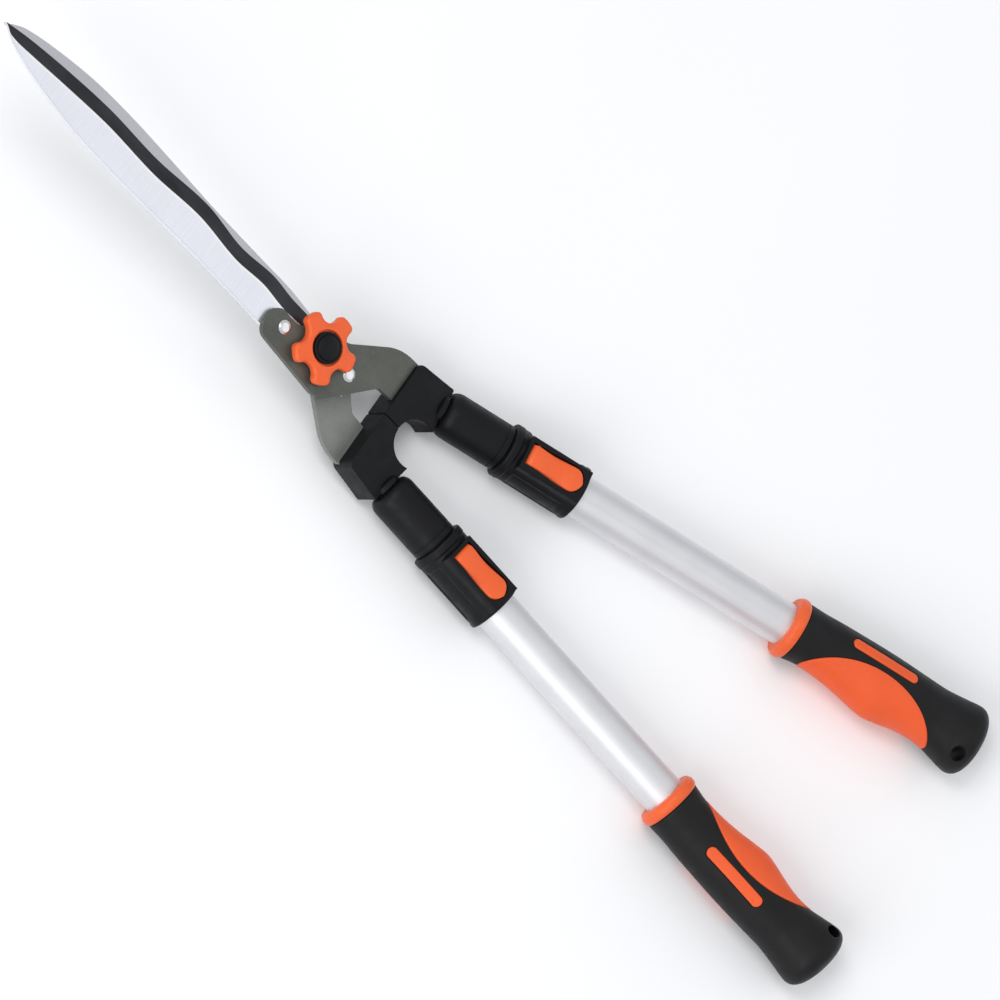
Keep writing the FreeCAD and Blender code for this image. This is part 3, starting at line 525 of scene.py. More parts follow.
def make_blade(prefix):
    """A wavy blade: its spine, its cutting edge and the line where its dark band begins."""
    spine = through([(BLADE_TAIL, 7), (28, 0.86 * BLADE_BELLY), (60, 0.873 * BLADE_BELLY),
                     (101, 0.885 * BLADE_BELLY), (142, 0.96 * BLADE_BELLY), (175, BLADE_BELLY),
                     (207, 0.94 * BLADE_BELLY), (238, 0.705 * BLADE_BELLY), (262, 0.39 * BLADE_BELLY),
                     (TIP_START, TIP_HALF)])
    edge = through([(BLADE_TAIL, -8), (14, -10.8), (29, -10.9), (47, -12.3), (74, -10.0), (106, -12.9),
                    (148, -9.6), (189, -9.8), (225, -7.3), (255, -3.9), (TIP_START, -TIP_HALF)])
    line = through([(BLADE_TAIL, -3), (12, -2.4), (31, -1.6), (50, -3.0), (73, -1.2), (107, -3.4),
                    (145, -0.6), (186, -0.9), (222, 1.3), (250, 3.5), (262, 4.0), (276, 2.6)])
    stations = spread(BLADE_TAIL, TIP_START, 1.6) + spread(TIP_START, BLADE_REACH - 0.02, 0.2)[1:]
    rings = [[(x, y, z) for y, z in blade_section(x, spine, edge, line)] for x in stations]
    blade = solid(f"{prefix}_blade_ground", skin(rings, tones=BLADE_TONES))
    holes = [drill(RIVET_HOLE, -2, 5, 32, at) for at in RIVET_PLACES]
    combine(blade, "DIFFERENCE", drill(BOLT_BORE, -2, 5, 48), *holes)
    looks = [BLADE_STEEL, BAND_PAINTED_DARK, PAINTED_HIGHLIGHT_LINE, SHADED_BACK_STEEL]
    fit(blade, HALVES[prefix], f"{prefix}_half", looks, "blade_steel", f"{prefix}_blade")


STACK_TOP = 6.15


def make_rivets(prefix):
    """Rivets with a low crowned head on a small flange, flush with the shearing face."""
    head, height, shank, steps = 4.2, 1.4, 2.46, 8
    foot = BLADE_LOW - 0.04
    crown = [(STACK_TOP + height * (0.42 + 0.58 * math.sqrt(1 - (step / steps) ** 2)),
              head * 0.86 * step / steps) for step in range(steps, -1, -1)]
    profile = [(foot, 0.0), (foot, shank), (STACK_TOP, shank), (STACK_TOP, head - 0.25),
               (STACK_TOP + 0.2, head), (STACK_TOP + 0.4, head - 0.1), *crown]
    skins = [skin(shifted(turned(profile, "Z", 48), at), caps=False) for at in RIVET_PLACES]
    rivets = solid(f"{prefix}_rivet_heads", *skins)
    fit(rivets, HALVES[prefix], f"{prefix}_half", ZINC, "bright_steel", f"{prefix}_rivets")


# ---- knob

KNOB_BASE = 7.45
LOBE_BASE = 8.25
LOBE_TOP = 14.05
KNOB_PHASE = 13.0
KNOB_RECESS = 1.8


def knob_outline():
    """Five lobes: round valleys joined to the round tips by fillets."""
    tip, valley, reach, blend = 21.0, 6.6, 20.6, 3.2
    inner = tip - blend
    swing = math.acos((inner**2 + reach**2 - (valley + blend) ** 2) / (2 * inner * reach))
    lean = math.degrees(math.atan2(inner * math.sin(swing), inner * math.cos(swing) - reach))
    swing = math.degrees(swing)

    def at(distance, angle):
        return distance * math.cos(math.radians(angle)), distance * math.sin(math.radians(angle))

    points = []
    for lobe in range(5):
        here = KNOB_PHASE + 72 * lobe
        after = here + 72
        points += arc(at(reach, here), valley, here + 360 - lean, here + lean, 16)
        points += arc(at(inner, here + swing), blend, here + lean - 180, here + swing, 9)[1:]
        points += arc((0, 0), tip, here + swing, after - swing, 6)[1:]
        points += arc(at(inner, after - swing), blend, after - swing, after + 180 - lean, 9)[1:-1]
    return points


def make_knob():
    """A star knob: rounded lobes, a raised lip round the cap recess and a foot towards the washer."""
    outline = knob_outline()
    angles = [math.atan2(y, x) for x, y in outline]

    def circle(radius, height):
        return [(radius * math.cos(a), radius * math.sin(a), height) for a in angles]

    rim, foot_round, steps = 1.9, 0.9, 6
    bore, hub, foot = 4.4, 9.3, 12.0
    recess = LOBE_TOP - KNOB_RECESS
    rings = [circle(bore, KNOB_BASE + 1.2), circle(hub, KNOB_BASE + 1.2), circle(hub, KNOB_BASE),
             circle(foot - 0.4, KNOB_BASE), circle(foot, KNOB_BASE + 0.3), circle(foot, LOBE_BASE)]
    rings.append([(x, y, LOBE_BASE) for x, y in inset(outline, 1.3)])
    for step in range(steps + 1):
        turn = math.pi / 2 * step / steps
        ring = inset(outline, foot_round * (1 - math.sin(turn)))
        rings.append([(x, y, LOBE_BASE + foot_round * (1 - math.cos(turn))) for x, y in ring])
    for step in range(steps + 1):
        turn = math.pi / 2 * step / steps
        ring = inset(outline, rim * (1 - math.cos(turn)))
        rings.append([(x, y, LOBE_TOP - 0.35 - rim * (1 - math.sin(turn))) for x, y in ring])
    rings.append([(x, y, LOBE_TOP - 0.30) for x, y in inset(outline, rim + 0.35)])
    rings += [circle(11.9, LOBE_TOP - 0.16), circle(11.5, LOBE_TOP - 0.05), circle(11.2, LOBE_TOP),
              circle(10.75, LOBE_TOP), circle(10.45, LOBE_TOP - 0.08), circle(10.25, LOBE_TOP - 0.35),
              circle(10.2, recess), circle(bore, recess)]
    knob = solid("tension_knob_star", skin(rings, caps=False, loop=True))
    fit(knob, TOOL, "knob", ORANGE_PLASTIC, "orange_plastic", "tension_knob")


def make_knob_cap():
    """The domed cap in the knob, with a ring groove inside its rim."""
    floor = LOBE_TOP - KNOB_RECESS
    radius = 9.15
    profile = [(floor + 0.02, 0), (floor + 0.02, radius - 0.3), (floor + 0.3, radius),
               (floor + 1.9, radius), (floor + 2.25, radius - 0.12), (floor + 2.4, radius - 0.45),
               (floor + 2.42, radius - 1.1), (floor + 2.36, radius - 1.35), (floor + 2.12, radius - 1.5),
               (floor + 2.12, radius - 1.75), (floor + 2.4, radius - 1.95)]
    dome, rise, steps = radius - 2.1, 1.7, 10
    top = floor + 4.25
    profile += [(top - rise * (1 - math.sqrt(1 - (0.97 * step / steps) ** 2)), dome * step / steps)
                for step in range(steps, -1, -1)]
    cap = solid("knob_cap_domed", skin(turned(profile, "Z"), caps=False))
    fit(cap, TOOL, "knob", NYLON, "black_plastic", "knob_cap")


# ---- bumpers

BUMPER_FRONT = -55.5
BUMPER_LOW = -8.5
BUMPER_HIGH = 9.5
ARCH_CENTRE = (-82.0, 0.0)
ARCH_RADIUS = 14.0
SEAM = 0.15


def bumper_outline(side):
    """Half of the bumper block from above, with half of the arch behind the seam."""
    inner = math.degrees(math.asin(SEAM / ARCH_RADIUS))
    points = rounded([(BUMPER_FRONT, SEAM, 1.0), (BUMPER_FRONT, 37.2, 4.0), (-82.6, 40.6, 1.2),
                      (-86.6, 15.0, 3.0), (-87.0, 13.1, 0), (-68.0, SEAM, 0)], steps=8)
    return [(x, side * y) for x, y in points[:-2] + arc(ARCH_CENTRE, ARCH_RADIUS, 111.0, inner, 26)]


def make_bumper(prefix):
    """A rounded block on the arm's end, a neck towards the sleeve and a pocket for the stop pad."""
    side = SIDES[prefix]
    outline = bumper_outline(side)
    block = solid(f"{prefix}_bumper_block",
                  skin([[(x, y, z) for x, y in outline] for z in (BUMPER_LOW, BUMPER_HIGH)]))
    bevelled(block, 1.0, 4, 50)
    radius = 9.2
    neck = solid("neck", skin(turned([(-4, radius - 0.6), (-3.4, radius), (-0.8, radius),
                                      (-0.2, radius - 0.4)])))
    neck.data.transform(TOOL.inverted() @ HANDLES[prefix])
    combine(block, "UNION", neck)
    gap, depth = 0.3, 2.5
    start, end, low, high = -66 - gap, -57.5 + gap, -4 - gap, 5 + gap
    pocket = [(start, low), (end, low), (end, high), (start, high)]
    hollow = solid("pocket", skin([[(x, side * y, z) for x, z in pocket] for y in (-1, depth)]))
    combine(block, "DIFFERENCE", hollow)
    fit(block, TOOL, f"{prefix}_half", NYLON, "black_plastic", f"{prefix}_bumper")


# ---- handle tubes and sleeves

INNER_TUBE_START, INNER_TUBE_END = 4.0, 256.5
INNER_TUBE_RADIUS, INNER_TUBE_BORE = 10.9, 9.5
OUTER_TUBE_START, OUTER_TUBE_END = 66.0, 345.0
OUTER_TUBE_RADIUS, OUTER_TUBE_BORE = 12.5, 11.3
# the bore of the collar, ring and grip round the outer tube
OUTER_TUBE_SEAT = 12.55


def make_sleeve(prefix):
    """The sleeve over the tang: a round nose, a plain barrel and a bore for the inner tube."""
    radius, nose, drop, end = 13.75, 6.5, 4.2, 40.5
    tang_bore, tube_bore = 9.0, 10.95
    lip, lip_end = 12.7, end + 0.44
    turns = [math.pi / 2 * step / 12 for step in range(12, -1, -1)]
    profile = [(nose - nose * math.sin(turn), radius - drop + drop * math.cos(turn)) for turn in turns]
    profile += [(end - 4.6, radius), (end - 4.4, radius - 0.35), (end - 3.9, radius - 0.35),
                (end - 3.7, radius), (end - 0.5, radius), (end, radius - 0.5), (end, lip),
                (lip_end, lip), (lip_end, tube_bore), (INNER_TUBE_START, tube_bore),
                (INNER_TUBE_START, tang_bore), (0, tang_bore)]
    sleeve = solid(f"{prefix}_sleeve_moulded", skin(turned(profile), loop=True))
    combine(sleeve, "DIFFERENCE", drill(2.1, -20, -5, 32, (20, 0)))
    fit(sleeve, HANDLES[prefix], f"{prefix}_half", NYLON, "black_plastic", f"{prefix}_sleeve")


def tube_profile(start, end, outer, bore):
    """A tube's wall, with broken edges at both ends."""
    soft = 0.25
    return [(start, bore + soft), (start, outer - soft), (start + soft, outer), (end - soft, outer),
            (end, outer - soft), (end, bore + soft), (end - soft, bore), (start + soft, bore)]


def make_tubes(prefix):
    profile = tube_profile(INNER_TUBE_START, INNER_TUBE_END, INNER_TUBE_RADIUS, INNER_TUBE_BORE)
    inner = solid(f"{prefix}_inner_tube_drawn", skin(turned(profile), loop=True))
    fit(inner, HANDLES[prefix], f"{prefix}_half", ALUMINIUM, "aluminium", f"{prefix}_inner_tube")
    profile = tube_profile(OUTER_TUBE_START, OUTER_TUBE_END, OUTER_TUBE_RADIUS, OUTER_TUBE_BORE)
    outer = solid(f"{prefix}_outer_tube_drawn", skin(turned(profile), loop=True))
    fit(outer, HANDLES[prefix], f"{prefix}_handle", ALUMINIUM, "aluminium", f"{prefix}_outer_tube")


# ---- collar and lever

COLLAR_START = 41.0
COLLAR_END = 90.5
COLLAR_RADIUS = 16.3
COLLAR_BORE = 11.05
BAND_PROUD = 0.45
PANEL_DEPTH = 0.9
HOUSING_HALF = 10.5
HOUSING_TOP = 19.3
HOUSING_START = 47.0
LEVER_END = 86.0
LEVER_WAIST = 6.35
LEVER_HALF = 7.25
LEVER_TOP = 20.3
LEVER_LOW = 15.0
LEVER_NOSE = 3.7
PIN_RADIUS = 1.5


def box_reach(angle, half, top, power):
    """How far a rounded box reaches from the axis in a direction, measured from straight up."""
    s, c = abs(math.sin(angle)), math.cos(angle)
    if c <= 0:
        return 0.0
    return ((s / half) ** power + (c / top) ** power) ** (-1 / power)


def collar_radius(u, angle):
    """The collar's outer surface; angle is measured from straight up."""
    rim_in = min(u - COLLAR_START, COLLAR_END - u)
    soft = 1.3
    dip = soft - math.sqrt(max(0.0, soft**2 - max(0.0, soft - rim_in) ** 2))
    band = BAND_PROUD * (1 - blend_up(u, 45.4, 46.2)) + 0.35 * blend_up(u, 87.4, 88.1)
    barrel = COLLAR_RADIUS - BAND_PROUD + band - dip
    degrees = math.degrees(abs(angle))
    barrel -= PANEL_DEPTH * (plateau(degrees, 52, 58, 104, 110) * plateau(u, 49.5, 51.5, 83.0, 85.0))
    rise = plateau(u, HOUSING_START - 0.6, HOUSING_START + 1.8, 88.6, 90.4)
    corner, sharp = 14, 26
    reach = box_reach(angle, HOUSING_HALF, HOUSING_TOP, corner) * rise
    if reach <= 0:
        return barrel
    return (barrel**sharp + reach**sharp) ** (1 / sharp)


def lever_half(u):
    """Half the lever's width: slim in front, waisted, wide and round at its free end."""
    half = LEVER_WAIST + (LEVER_HALF - LEVER_WAIST) * blend_up(u, 58.0, 76.0)
    past = (u - (LEVER_END - LEVER_HALF)) / LEVER_HALF
    return half * math.sqrt(max(0.0, 1 - past**2.2)) if past > 0 else half


def lever_stations():
    """Stations along the lever, close together in its round nose and its round end."""
    front = [LEVER_PIN.x - LEVER_NOSE * math.cos(math.pi / 2 * step / 10) for step in range(11)]
    round_start = LEVER_END - LEVER_HALF
    back = [round_start + LEVER_HALF * math.sin(math.pi / 2 * step / 18) for step in range(1, 18)]
    return front + spread(LEVER_PIN.x, round_start, 1.0)[1:] + back + [LEVER_END - 0.01]


def lever_plan(grow):
    """The lever's outline from above, grown on every side."""
    side = [(u, lever_half(u) + 0.02) for u in lever_stations()]
    return inset([(u, -y) for u, y in side] + [(u, y) for u, y in reversed(side)], -grow)


def make_collar(prefix):
    """The clamp collar: a banded barrel whose raised housing holds the lever in a slot."""
    count = 216
    angles = [TURN * step / count for step in range(count)]
    plain_start, plain_end = 52.0, 82.0
    stations = spread(COLLAR_START, plain_start, 0.35) + spread(plain_start, plain_end, 0.8)[1:]
    stations += spread(plain_end, COLLAR_END, 0.3)[1:]
    rings = []
    for u in stations:
        ring = []
        for angle in angles:
            radius = collar_radius(u, angle if angle <= math.pi else angle - TURN)
            ring.append((u, radius * math.sin(angle), radius * math.cos(angle)))
        rings.append(ring)
    inside = [(COLLAR_END, OUTER_TUBE_SEAT), (OUTER_TUBE_START, OUTER_TUBE_SEAT),
              (OUTER_TUBE_START, COLLAR_BORE), (COLLAR_START, COLLAR_BORE)]
    for u, radius in inside:
        rings.append([(u, radius * math.sin(angle), radius * math.cos(angle)) for angle in angles])
    collar = solid(f"{prefix}_collar_moulded", skin(rings, loop=True))
    plan = lever_plan(0.45)
    slot = solid("slot", skin([[(x, y, z) for x, y in plan] for z in (LEVER_LOW - 0.3, LEVER_TOP + 3.7)]))
    combine(collar, "DIFFERENCE", slot)
    fit(collar, HANDLES[prefix], f"{prefix}_handle", NYLON, "black_plastic", f"{prefix}_collar")


def lever_top(u):
    """The lever's top: high over the pin, dished for the thumb and raised again at its tip."""
    dish = math.sin(math.pi * clamp((u - 55.0) / 27.0)) ** 1.6
    return LEVER_TOP - 1.9 * dish - 0.5 * blend_up(u, LEVER_END - 5, LEVER_END)


def make_lever(prefix):
    """The orange cam lever: a round nose about its pin and a dished thumb piece behind it."""
    pin_u, pin_z = LEVER_PIN.x, LEVER_PIN.z
    rings = []
    for u in lever_stations():
        swell = math.sqrt(max(0.0, LEVER_NOSE**2 - (u - pin_u) ** 2))
        high = pin_z + swell if u < pin_u else lever_top(u)
        low = pin_z - swell if u < pin_u else min(pin_z - swell, LEVER_LOW)
        half = max(lever_half(u), 0.05)
        soft = min(1.5, half * 0.6, max(0.05, (high - low) * 0.45))
        crown = 0.35 * min(1.0, half / 4)
        upper = [(half - soft + soft * math.sin(t), high - crown - soft + soft * math.cos(t))
                 for t in (math.pi / 2 * step / 7 for step in range(7, -1, -1))]
        upper += [((half - soft) * share, high - crown * share**2) for share in (0.75, 0.5, 0.25, 0.0)]
        lower = [(half - 0.3 * soft, low), (half, low + 0.3 * soft)]
        right = lower + upper
        rings.append([(u, y, z) for y, z in right] + [(u, -y, z) for y, z in reversed(right[:-1])])
    lever = solid(f"{prefix}_lever_moulded", skin(rings))
    count = 32
    hole = arc((pin_u, pin_z), PIN_RADIUS + 0.06, 0, 360 - 360 / count, count - 1)
    bore = solid("bore", skin([[(u, y, z) for u, z in hole] for y in (-12, 12)]))
    combine(lever, "DIFFERENCE", bore)
    fit(lever, HANDLES[prefix], f"{prefix}_lever", ORANGE_PLASTIC, "orange_plastic", f"{prefix}_lever")


def make_lever_pin(prefix):
    """A steel pin with broken edges across the housing."""
    half, edge = 9.8, 0.2
    profile = [(-half, 0), (-half, PIN_RADIUS - edge), (-half + edge, PIN_RADIUS),
               (half - edge, PIN_RADIUS), (half, PIN_RADIUS - edge), (half, 0)]
    pin = solid(f"{prefix}_lever_pin_ground", skin(turned(profile, count=40), caps=False))
    across = Matrix.Translation(LEVER_PIN * MM) @ Matrix.Rotation(math.pi / 2, 4, "Z")
    fit(pin, HANDLES[prefix] @ across, f"{prefix}_handle", SPRING, "bright_steel", f"{prefix}_lever_pin")


# ---- grip

GRIP_START = 239.5
BUTT_END = 364.5
GRIP_SHAPE = through([
    # station, half width outward, half width inward, half height
    (239.5, 17.6, 17.2, 16.9),
    (250.0, 17.5, 15.7, 16.4),
    (262.0, 18.0, 15.9, 16.6),
    (276.0, 18.3, 17.6, 17.2),
    (288.0, 18.5, 20.0, 17.8),
    (297.0, 18.5, 21.4, 18.0),
    (306.0, 18.3, 20.2, 17.8),
    (321.0, 17.7, 17.6, 17.2),
    (333.0, 17.5, 17.8, 17.0),
    (345.0, 18.6, 20.8, 18.2),
    (354.0, 19.6, 23.0, 19.4),
    (366.0, 19.9, 23.6, 19.7),
])
BUTT_ROUND = 11.5
BUTT_POWER = 2.7
LEAF_FRONT, LEAF_DEEP, LEAF_BACK = (244.0, 22.0), (292.0, -2.0), (340.0, 22.0)
BAR_MIDDLE, BAR_OFFSET, BAR_HALF_LONG, BAR_HALF_WIDE = 290.5, -8.6, 22.0, 3.4
POCKET = 1.1
INLAY_GAP = 0.32
INLAY_PROUD = 0.30
# beyond this distance from a bar's middle its two edges lie at one plain angle
BAR_REACH, BAR_PLAIN = 60.0, math.radians(112)
# distance out from a pocket's edge, and how far the surface lies below the grip's there
LIP = ((-0.36, POCKET), (-0.30, 0.75), (-0.16, 0.36), (0.05, 0.14), (0.35, 0.03), (0.7, 0.0))
# the same for the grip's front face: distance back from it, and depth
FRONT_EDGE = ((0.05, 1.1), (0.2, 0.45), (0.55, 0.1))
FACE_END = 1.2


def grip_size(u):
    """Middle, half width and half height of the grip at a station; the butt closes in a round."""
    outer, inner, height = GRIP_SHAPE(u)
    share = 1.0
    if u > BUTT_END - BUTT_ROUND:
        t = min(1.0, (u - (BUTT_END - BUTT_ROUND)) / BUTT_ROUND)
        share = max(1e-6, 1 - t**BUTT_POWER) ** (1 / BUTT_POWER)
    return (inner - outer) / 2, (inner + outer) / 2 * share, height * share


def grip_point(u, angle, drop, inward):
    """A point on the grip; the angle is measured from its inward side towards its top."""
    middle, wide, high = grip_size(u)
    out = Vector((math.cos(angle) / max(wide, 0.01), math.sin(angle) / max(high, 0.01))).normalized()
    y = middle + wide * math.cos(angle) - drop * out.x
    z = high * math.sin(angle) - drop * out.y
    return (u, inward * y, z)


def leaf_edge(u):
    """Half the angle that the belly inlay spans at a station."""
    run = LEAF_DEEP[0] - LEAF_FRONT[0]
    rise = LEAF_FRONT[1] - LEAF_DEEP[1]
    radius = (run**2 + rise**2) / (2 * rise)
    y = LEAF_DEEP[1] + radius - math.sqrt(max(0.0, radius**2 - (u - LEAF_DEEP[0]) ** 2))
    middle, wide, _ = grip_size(u)
    cosine = (y - middle) / wide
    return math.acos(cosine) if -1 < cosine < 1 else 0.0


def bar_edges(u):
    """The angles between which a side inlay lies at a station."""
    middle, wide, _ = grip_size(u)
    past = abs(u - BAR_MIDDLE) - (BAR_HALF_LONG - BAR_HALF_WIDE)
    half = BAR_HALF_WIDE
    if past > 0:
        half = math.sqrt(max(0.0, BAR_HALF_WIDE**2 - past**2))
    return [math.acos((BAR_OFFSET + sign * half - middle) / wide) for sign in (1, -1)]


def leaf_tips():
    """The stations where the belly inlay starts and ends."""
    stations = [u for u in spread(LEAF_FRONT[0] + 3.5, LEAF_BACK[0] + 6, 0.02) if leaf_edge(u) > 0]
    return stations[0], stations[-1]


def tip_stations(tip, towards, reach, steps=9):
    """Stations that crowd towards the tip of an inlay."""
    return [tip + math.copysign(reach, towards) * (1 - math.cos(math.pi / 2 * step / steps))
            for step in range(steps + 1)]


def grip_stations():
    """Stations along the grip behind its front face, close together at the inlays' tips."""
    front, back = leaf_tips()
    bar_low, bar_high = BAR_MIDDLE - BAR_HALF_LONG, BAR_MIDDLE + BAR_HALF_LONG
    crowded = tip_stations(front, 1, 5) + tip_stations(back, -1, 5)
    crowded += tip_stations(bar_low, 1, BAR_HALF_WIDE) + tip_stations(bar_high, -1, BAR_HALF_WIDE)
    regular = spread(GRIP_START + FACE_END, BUTT_END - BUTT_ROUND, 1.1)
    turns = [math.pi / 2 * step / 26 for step in range(1, 27)]
    butt = [BUTT_END - BUTT_ROUND + BUTT_ROUND * math.sin(turn) for turn in turns]
    stations = []
    for u in sorted(regular + crowded + butt):
        if not stations or u - stations[-1] > 0.02:
            stations.append(u)
    return stations


def window_columns(low, high, wide, steps):
    """(angle, drop) across a pocket from one edge to the other; the pocket closes as its edges meet."""
    share = min(1.0, (high - low) / 2 * wide / 0.9)

    def lip(edge, sign):
        return [(edge + sign * (out / wide * (share if out < 0 else 1)), drop * share) for out, drop in LIP]

    start = low - LIP[0][0] * share / wide
    end = high + LIP[0][0] * share / wide
    floor = [(start + (end - start) * n / steps, POCKET * share) for n in range(1, steps)]
    return lip(low, -1)[::-1] + floor + lip(high, 1)


def grip_half_ring(u):
    """(angle, drop) from the inward side over the top to the outward side."""
    _, wide, high = grip_size(u)
    size = max((wide + high) / 2, 0.5)
    leaf = leaf_edge(u)
    bar_low, bar_high = bar_edges(u) if abs(u - BAR_MIDDLE) < BAR_REACH else [BAR_PLAIN] * 2
    columns = [(max(0.0, angle), drop) for angle, drop in window_columns(-leaf, leaf, size, 16)]
    columns = columns[len(columns) // 2:]
    columns[0] = (0.0, columns[0][1])
    bar = window_columns(bar_low, bar_high, size, 8)
    start, end = columns[-1][0], bar[0][0]
    columns += [(start + (end - start) * n / 14, 0.0) for n in range(1, 14)]
    columns += bar
    start = columns[-1][0]
    columns += [(start + (math.pi - start) * n / 18, 0.0) for n in range(1, 19)]
    return columns


def make_grip(prefix):
    """The black grip: pockets with rounded lips for the inlays, a round butt and the hang hole."""
    inward = SIDES[prefix]
    first = grip_half_ring(GRIP_START + FACE_END)
    rows = [(GRIP_START + back, [(angle, drop) for angle, _ in first]) for back, drop in FRONT_EDGE]
    rows += [(u, grip_half_ring(u)) for u in grip_stations()]
    rings = []
    for u, half_ring in rows:
        whole = half_ring + [(-angle, drop) for angle, drop in reversed(half_ring[1:-1])]
        rings.append([grip_point(u, angle, drop, inward) for angle, drop in whole])
    # the last ring is there twice: once to end the side, once to edge the cap
    grip = solid(f"{prefix}_grip_moulded", skin(rings + rings[-1:]))
    reach = (GRIP_START - 5, OUTER_TUBE_END)
    tube = solid("tube", skin(turned([(u, OUTER_TUBE_SEAT) for u in reach])))
    hole = solid("hang_hole", skin(hole_rings(inward)))
    combine(grip, "DIFFERENCE", tube, hole)
    fit(grip, HANDLES[prefix], f"{prefix}_handle", GRIP_RUBBER, "grip_rubber", f"{prefix}_grip")


def hole_rings(inward):
    """A cutter for the hang hole that flares where it meets the grip's surface."""
    station, offset, radius = 352.5, 14.8, 3.75
    count = 48

    def surface(u, y):
        middle, wide, high = grip_size(u)
        return high * math.sqrt(max(0.02, 1 - ((y - middle) / wide) ** 2))

    # height over the grip's surface, and how much wider the hole is there; the first is clear of the grip
    flare = ((3.0, 2.2), (0.3, 0.95), (-0.25, 0.45), (-0.75, 0.14), (-1.3, 0.0))
    clear = 24.0
    steps = [(1, *step) for step in flare] + [(-1, *step) for step in reversed(flare)]
    rings = []
    for sign, lift, grow in steps:
        ring = []
        for step in range(count):
            angle = TURN * step / count
            reach = radius + grow
            u = station + reach * math.cos(angle)
            y = offset + reach * math.sin(angle)
            rim_u = station + radius * math.cos(angle)
            rim_y = offset + radius * math.sin(angle)
            height = clear if lift == flare[0][0] else surface(rim_u, rim_y) + lift
            ring.append((u, inward * y, sign * height))
        rings.append(ring)
    return rings


def pillow(rows, edge_of, inward):
    """A closed inlay over rows of (u, low angle, high angle), crowned and rounded at its edge."""
    columns, soft = 24, 1.0
    rings = []
    for u, low, high in rows:
        _, wide, tall = grip_size(u)
        size = (wide + tall) / 2
        upper, lower = [], []
        for step in range(columns + 1):
            t = -math.cos(math.pi * step / columns)
            angle = (low + high) / 2 + (high - low) / 2 * t
            inside = edge_of(u, angle, size)
            fall = soft - math.sqrt(max(0.0, soft**2 - max(0.0, soft - inside) ** 2))
            upper.append(grip_point(u, angle, -INLAY_PROUD + fall * 0.85, inward))
            lower.append(grip_point(u, angle, POCKET - 0.05, inward))
        rings.append(upper + lower[::-1])
    return skin(rings)


def make_belly_inlay(prefix):
    """The leaf-shaped orange inlay along the grip's inward side."""
    inward = SIDES[prefix]
    front, back = leaf_tips()
    stations = tip_stations(front + 0.5, 1, 6, 12) + spread(front + 6.5, back - 6.5, 1.2)[1:-1]
    stations += tip_stations(back - 0.5, -1, 6, 12)[::-1]

    def inside(u, angle, size):
        slope = (leaf_edge(u + 0.05) - leaf_edge(u - 0.05)) / 0.1 * size
        return max(0.0, (leaf_edge(u) - abs(angle)) * size - INLAY_GAP) / math.sqrt(1 + slope**2)

    rows = []
    for u in stations:
        _, wide, tall = grip_size(u)
        half = max(0.002, leaf_edge(u) - INLAY_GAP / ((wide + tall) / 2))
        rows.append((u, -half, half))
    inlay = solid(f"{prefix}_belly_inlay_crowned", pillow(rows, inside, inward))
    fit(inlay, HANDLES[prefix], f"{prefix}_handle", ORANGE_RUBBER, "orange_rubber", f"{prefix}_belly_inlay")


def make_side_inlays(prefix):
    """The two bar-shaped orange inlays on the grip's upper and lower faces."""
    inward = SIDES[prefix]
    long, wide_half = BAR_HALF_LONG - INLAY_GAP, BAR_HALF_WIDE - INLAY_GAP

    def span(u):
        middle, wide, _ = grip_size(u)
        past = max(0.0, abs(u - BAR_MIDDLE) - (long - wide_half))
        half = math.sqrt(max(0.0004, wide_half**2 - past**2))
        return [math.acos((BAR_OFFSET + sign * half - middle) / wide) for sign in (1, -1)]

    def inside(u, angle, _):
        middle, wide, _ = grip_size(u)
        across = middle + wide * math.cos(angle) - BAR_OFFSET
        past = max(0.0, abs(u - BAR_MIDDLE) - (long - wide_half))
        return max(0.0, wide_half - math.hypot(across, past))

    low, high = BAR_MIDDLE - long, BAR_MIDDLE + long
    stations = tip_stations(low, 1, wide_half, 12) + spread(low + wide_half, high - wide_half, 1.5)[1:-1]
    stations += tip_stations(high, -1, wide_half, 12)[::-1]
    rows = [(u, *span(u)) for u in stations]
    skins = [pillow([(u, sign * a, sign * b) for u, a, b in rows], inside, inward) for sign in (1, -1)]
    bars = solid(f"{prefix}_side_inlays_crowned", *skins)
    fit(bars, HANDLES[prefix], f"{prefix}_handle", ORANGE_RUBBER, "orange_rubber", f"{prefix}_side_inlays")


def make_grip_ring(prefix):
    """The flared orange ring in front of the grip."""
    start, end, radius = 232.5, GRIP_START - 0.15, 18.4
    profile = rounded([(start, OUTER_TUBE_SEAT, 0), (start, radius - 1.5, 1.4), (start + 2.6, radius, 2.0),
                       (end - 1.75, radius, 1.3), (end, radius - 1.0, 0.5), (end, OUTER_TUBE_SEAT, 0)])
    ring = solid(f"{prefix}_grip_ring_flared", skin(turned(profile), loop=True))
    fit(ring, HANDLES[prefix], f"{prefix}_handle", ORANGE_PLASTIC, "orange_plastic", f"{prefix}_grip_ring")


# ---- CAD pieces that stay

def finish_node(name, look, width=0.0):
    """Give a CAD node its material and, where asked, soften its sharp edges."""
    item = frame["nodes"][name]
    item.data.materials.clear()
    item.data.materials.append(look)
    if width:
        weld = item.modifiers.new("weld", "WELD")
        weld.merge_threshold = 0.005 * MM
        step = item.modifiers.new("edges", "BEVEL")
        step.width = width * MM
        step.segments = 3
        step.limit_method = "ANGLE"
        step.angle_limit = math.radians(50)
        step.harden_normals = True


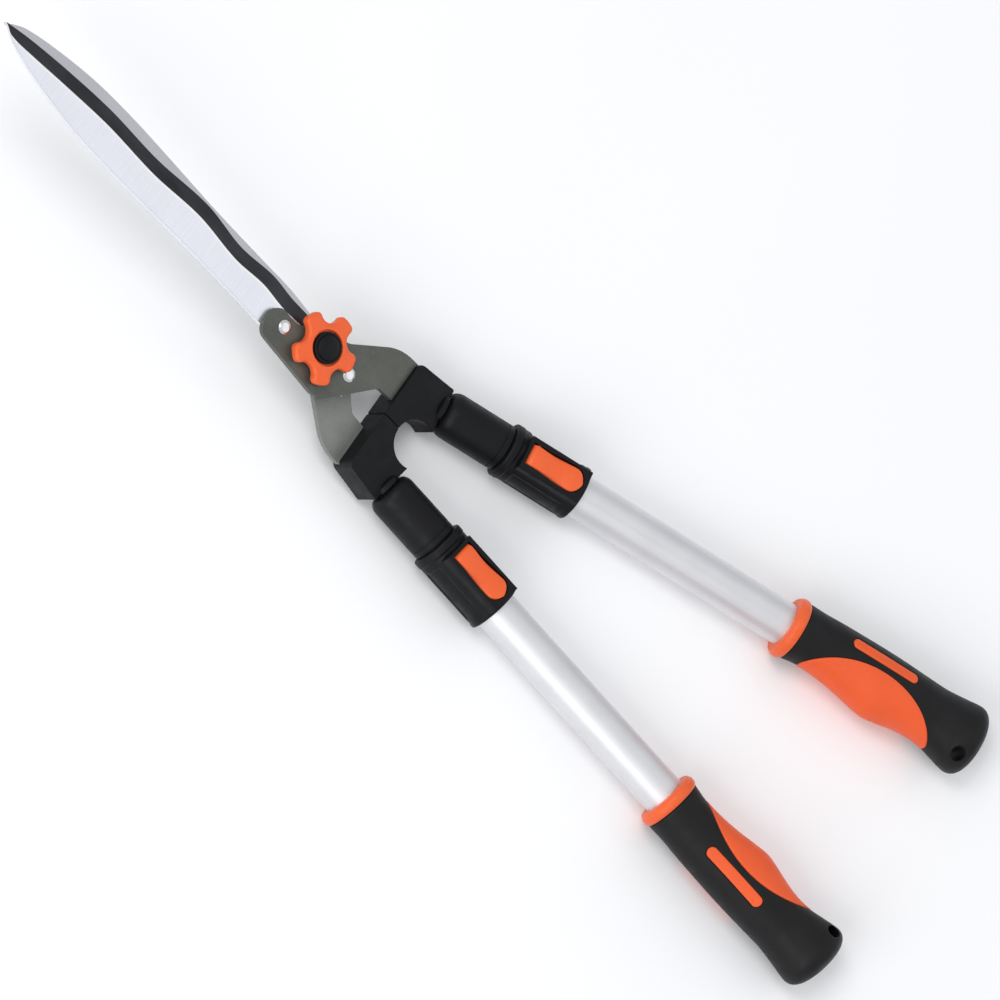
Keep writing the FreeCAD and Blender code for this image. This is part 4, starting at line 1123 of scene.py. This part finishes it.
def finish_cad_nodes():
    for prefix in SIDES:
        finish_node(f"{prefix}_arm", ARM_LOOKS[prefix], 0.45)
        finish_node(f"{prefix}_bumper_pad", PAD_RUBBER, 0.3)
        finish_node(f"{prefix}_tang_screw", ZINC, 0.2)
        finish_node(f"{prefix}_guide_bush", NYLON, 0.2)
        finish_node(f"{prefix}_clamp_shoe", NYLON)
    finish_node("pivot_bolt", ZINC, 0.3)
    finish_node("thrust_washer", ZINC, 0.15)
    finish_node("wave_washer", SPRING, 0.1)
    finish_node("knob_nut", ZINC, 0.2)


# ---- floor, lights and camera

def make_stage():
    """A pale floor, a soft sky and three soft boxes."""
    floor_look = Look("pale_floor", (0.95, 0.95, 0.955), 0.8)
    floor_look.tint(floor_look.noise(3, 2), (0.93, 0.93, 0.94))
    floor = bpy.data.objects.new("floor", bpy.data.meshes.new("floor"))
    half = 9.0
    corners = [(-half, -half, 0), (half, -half, 0), (half, half, 0), (-half, half, 0)]
    floor.data.from_pydata(corners, [], [(0, 1, 2, 3)])
    floor.data.materials.append(floor_look.material)
    bpy.context.scene.collection.objects.link(floor)
    world = bpy.data.worlds.new("studio")
    world.use_nodes = True
    sky = world.node_tree.nodes["Background"]
    sky.inputs["Color"].default_value = (0.95, 0.97, 1.0, 1)
    sky.inputs["Strength"].default_value = 0.62
    bpy.context.scene.world = world
    soft_box("over_blades", Vector((-0.63, -0.375, 0.679)), distance=2.6, size=2.2, power=6.5)
    soft_box("from_left", Vector((0.25, 0.80, 0.62)), distance=3.0, size=1.8, power=34)
    soft_box("overhead", Vector((0.45, 0.1, 0.95)), distance=3.0, size=1.2, power=24)


def soft_box(name, direction, distance, size, power):
    """A square area light that faces the middle of the object."""
    light = bpy.data.lights.new(name, "AREA")
    light.shape = "SQUARE"
    light.size = size
    light.energy = power
    item = bpy.data.objects.new(name, light)
    item.location = direction.normalized() * distance
    item.rotation_euler = direction.to_track_quat("Z", "Y").to_euler()
    bpy.context.scene.collection.objects.link(item)


def make_camera():
    """A long lens far away, so that the view is nearly parallel.

    Any farther, and views from other sides would end before they reach the tool.
    """
    right = Vector((-0.7465, -0.5359, 0.3943)).normalized()
    back = right.cross(Vector((0.6320, -0.7563, 0.1688))).normalized()
    up = back.cross(right)
    distance, width = 20.0, 0.5556
    aim = TOOL.translation + right * 0.10356 - up * 0.08444
    camera = bpy.data.cameras.new("camera")
    camera.lens = camera.sensor_width * distance / width
    camera.clip_end = 2 * distance
    item = bpy.data.objects.new("camera", camera)
    matrix = Matrix((right, up, back)).transposed().to_4x4()
    matrix.translation = aim + back * distance
    item.matrix_world = matrix
    bpy.context.scene.collection.objects.link(item)
    bpy.context.scene.camera = item


# ---- assembly

make_stage()
make_camera()
for prefix in SIDES:
    make_blade(prefix)
for prefix in SIDES:
    make_rivets(prefix)
make_knob()
make_knob_cap()
for prefix in SIDES:
    make_bumper(prefix)
    make_sleeve(prefix)
    make_tubes(prefix)
    make_collar(prefix)
    make_lever(prefix)
    make_lever_pin(prefix)
    make_grip_ring(prefix)
    make_grip(prefix)
    make_belly_inlay(prefix)
    make_side_inlays(prefix)
finish_cad_nodes()
bpy.context.scene.view_settings.view_transform = "Standard"
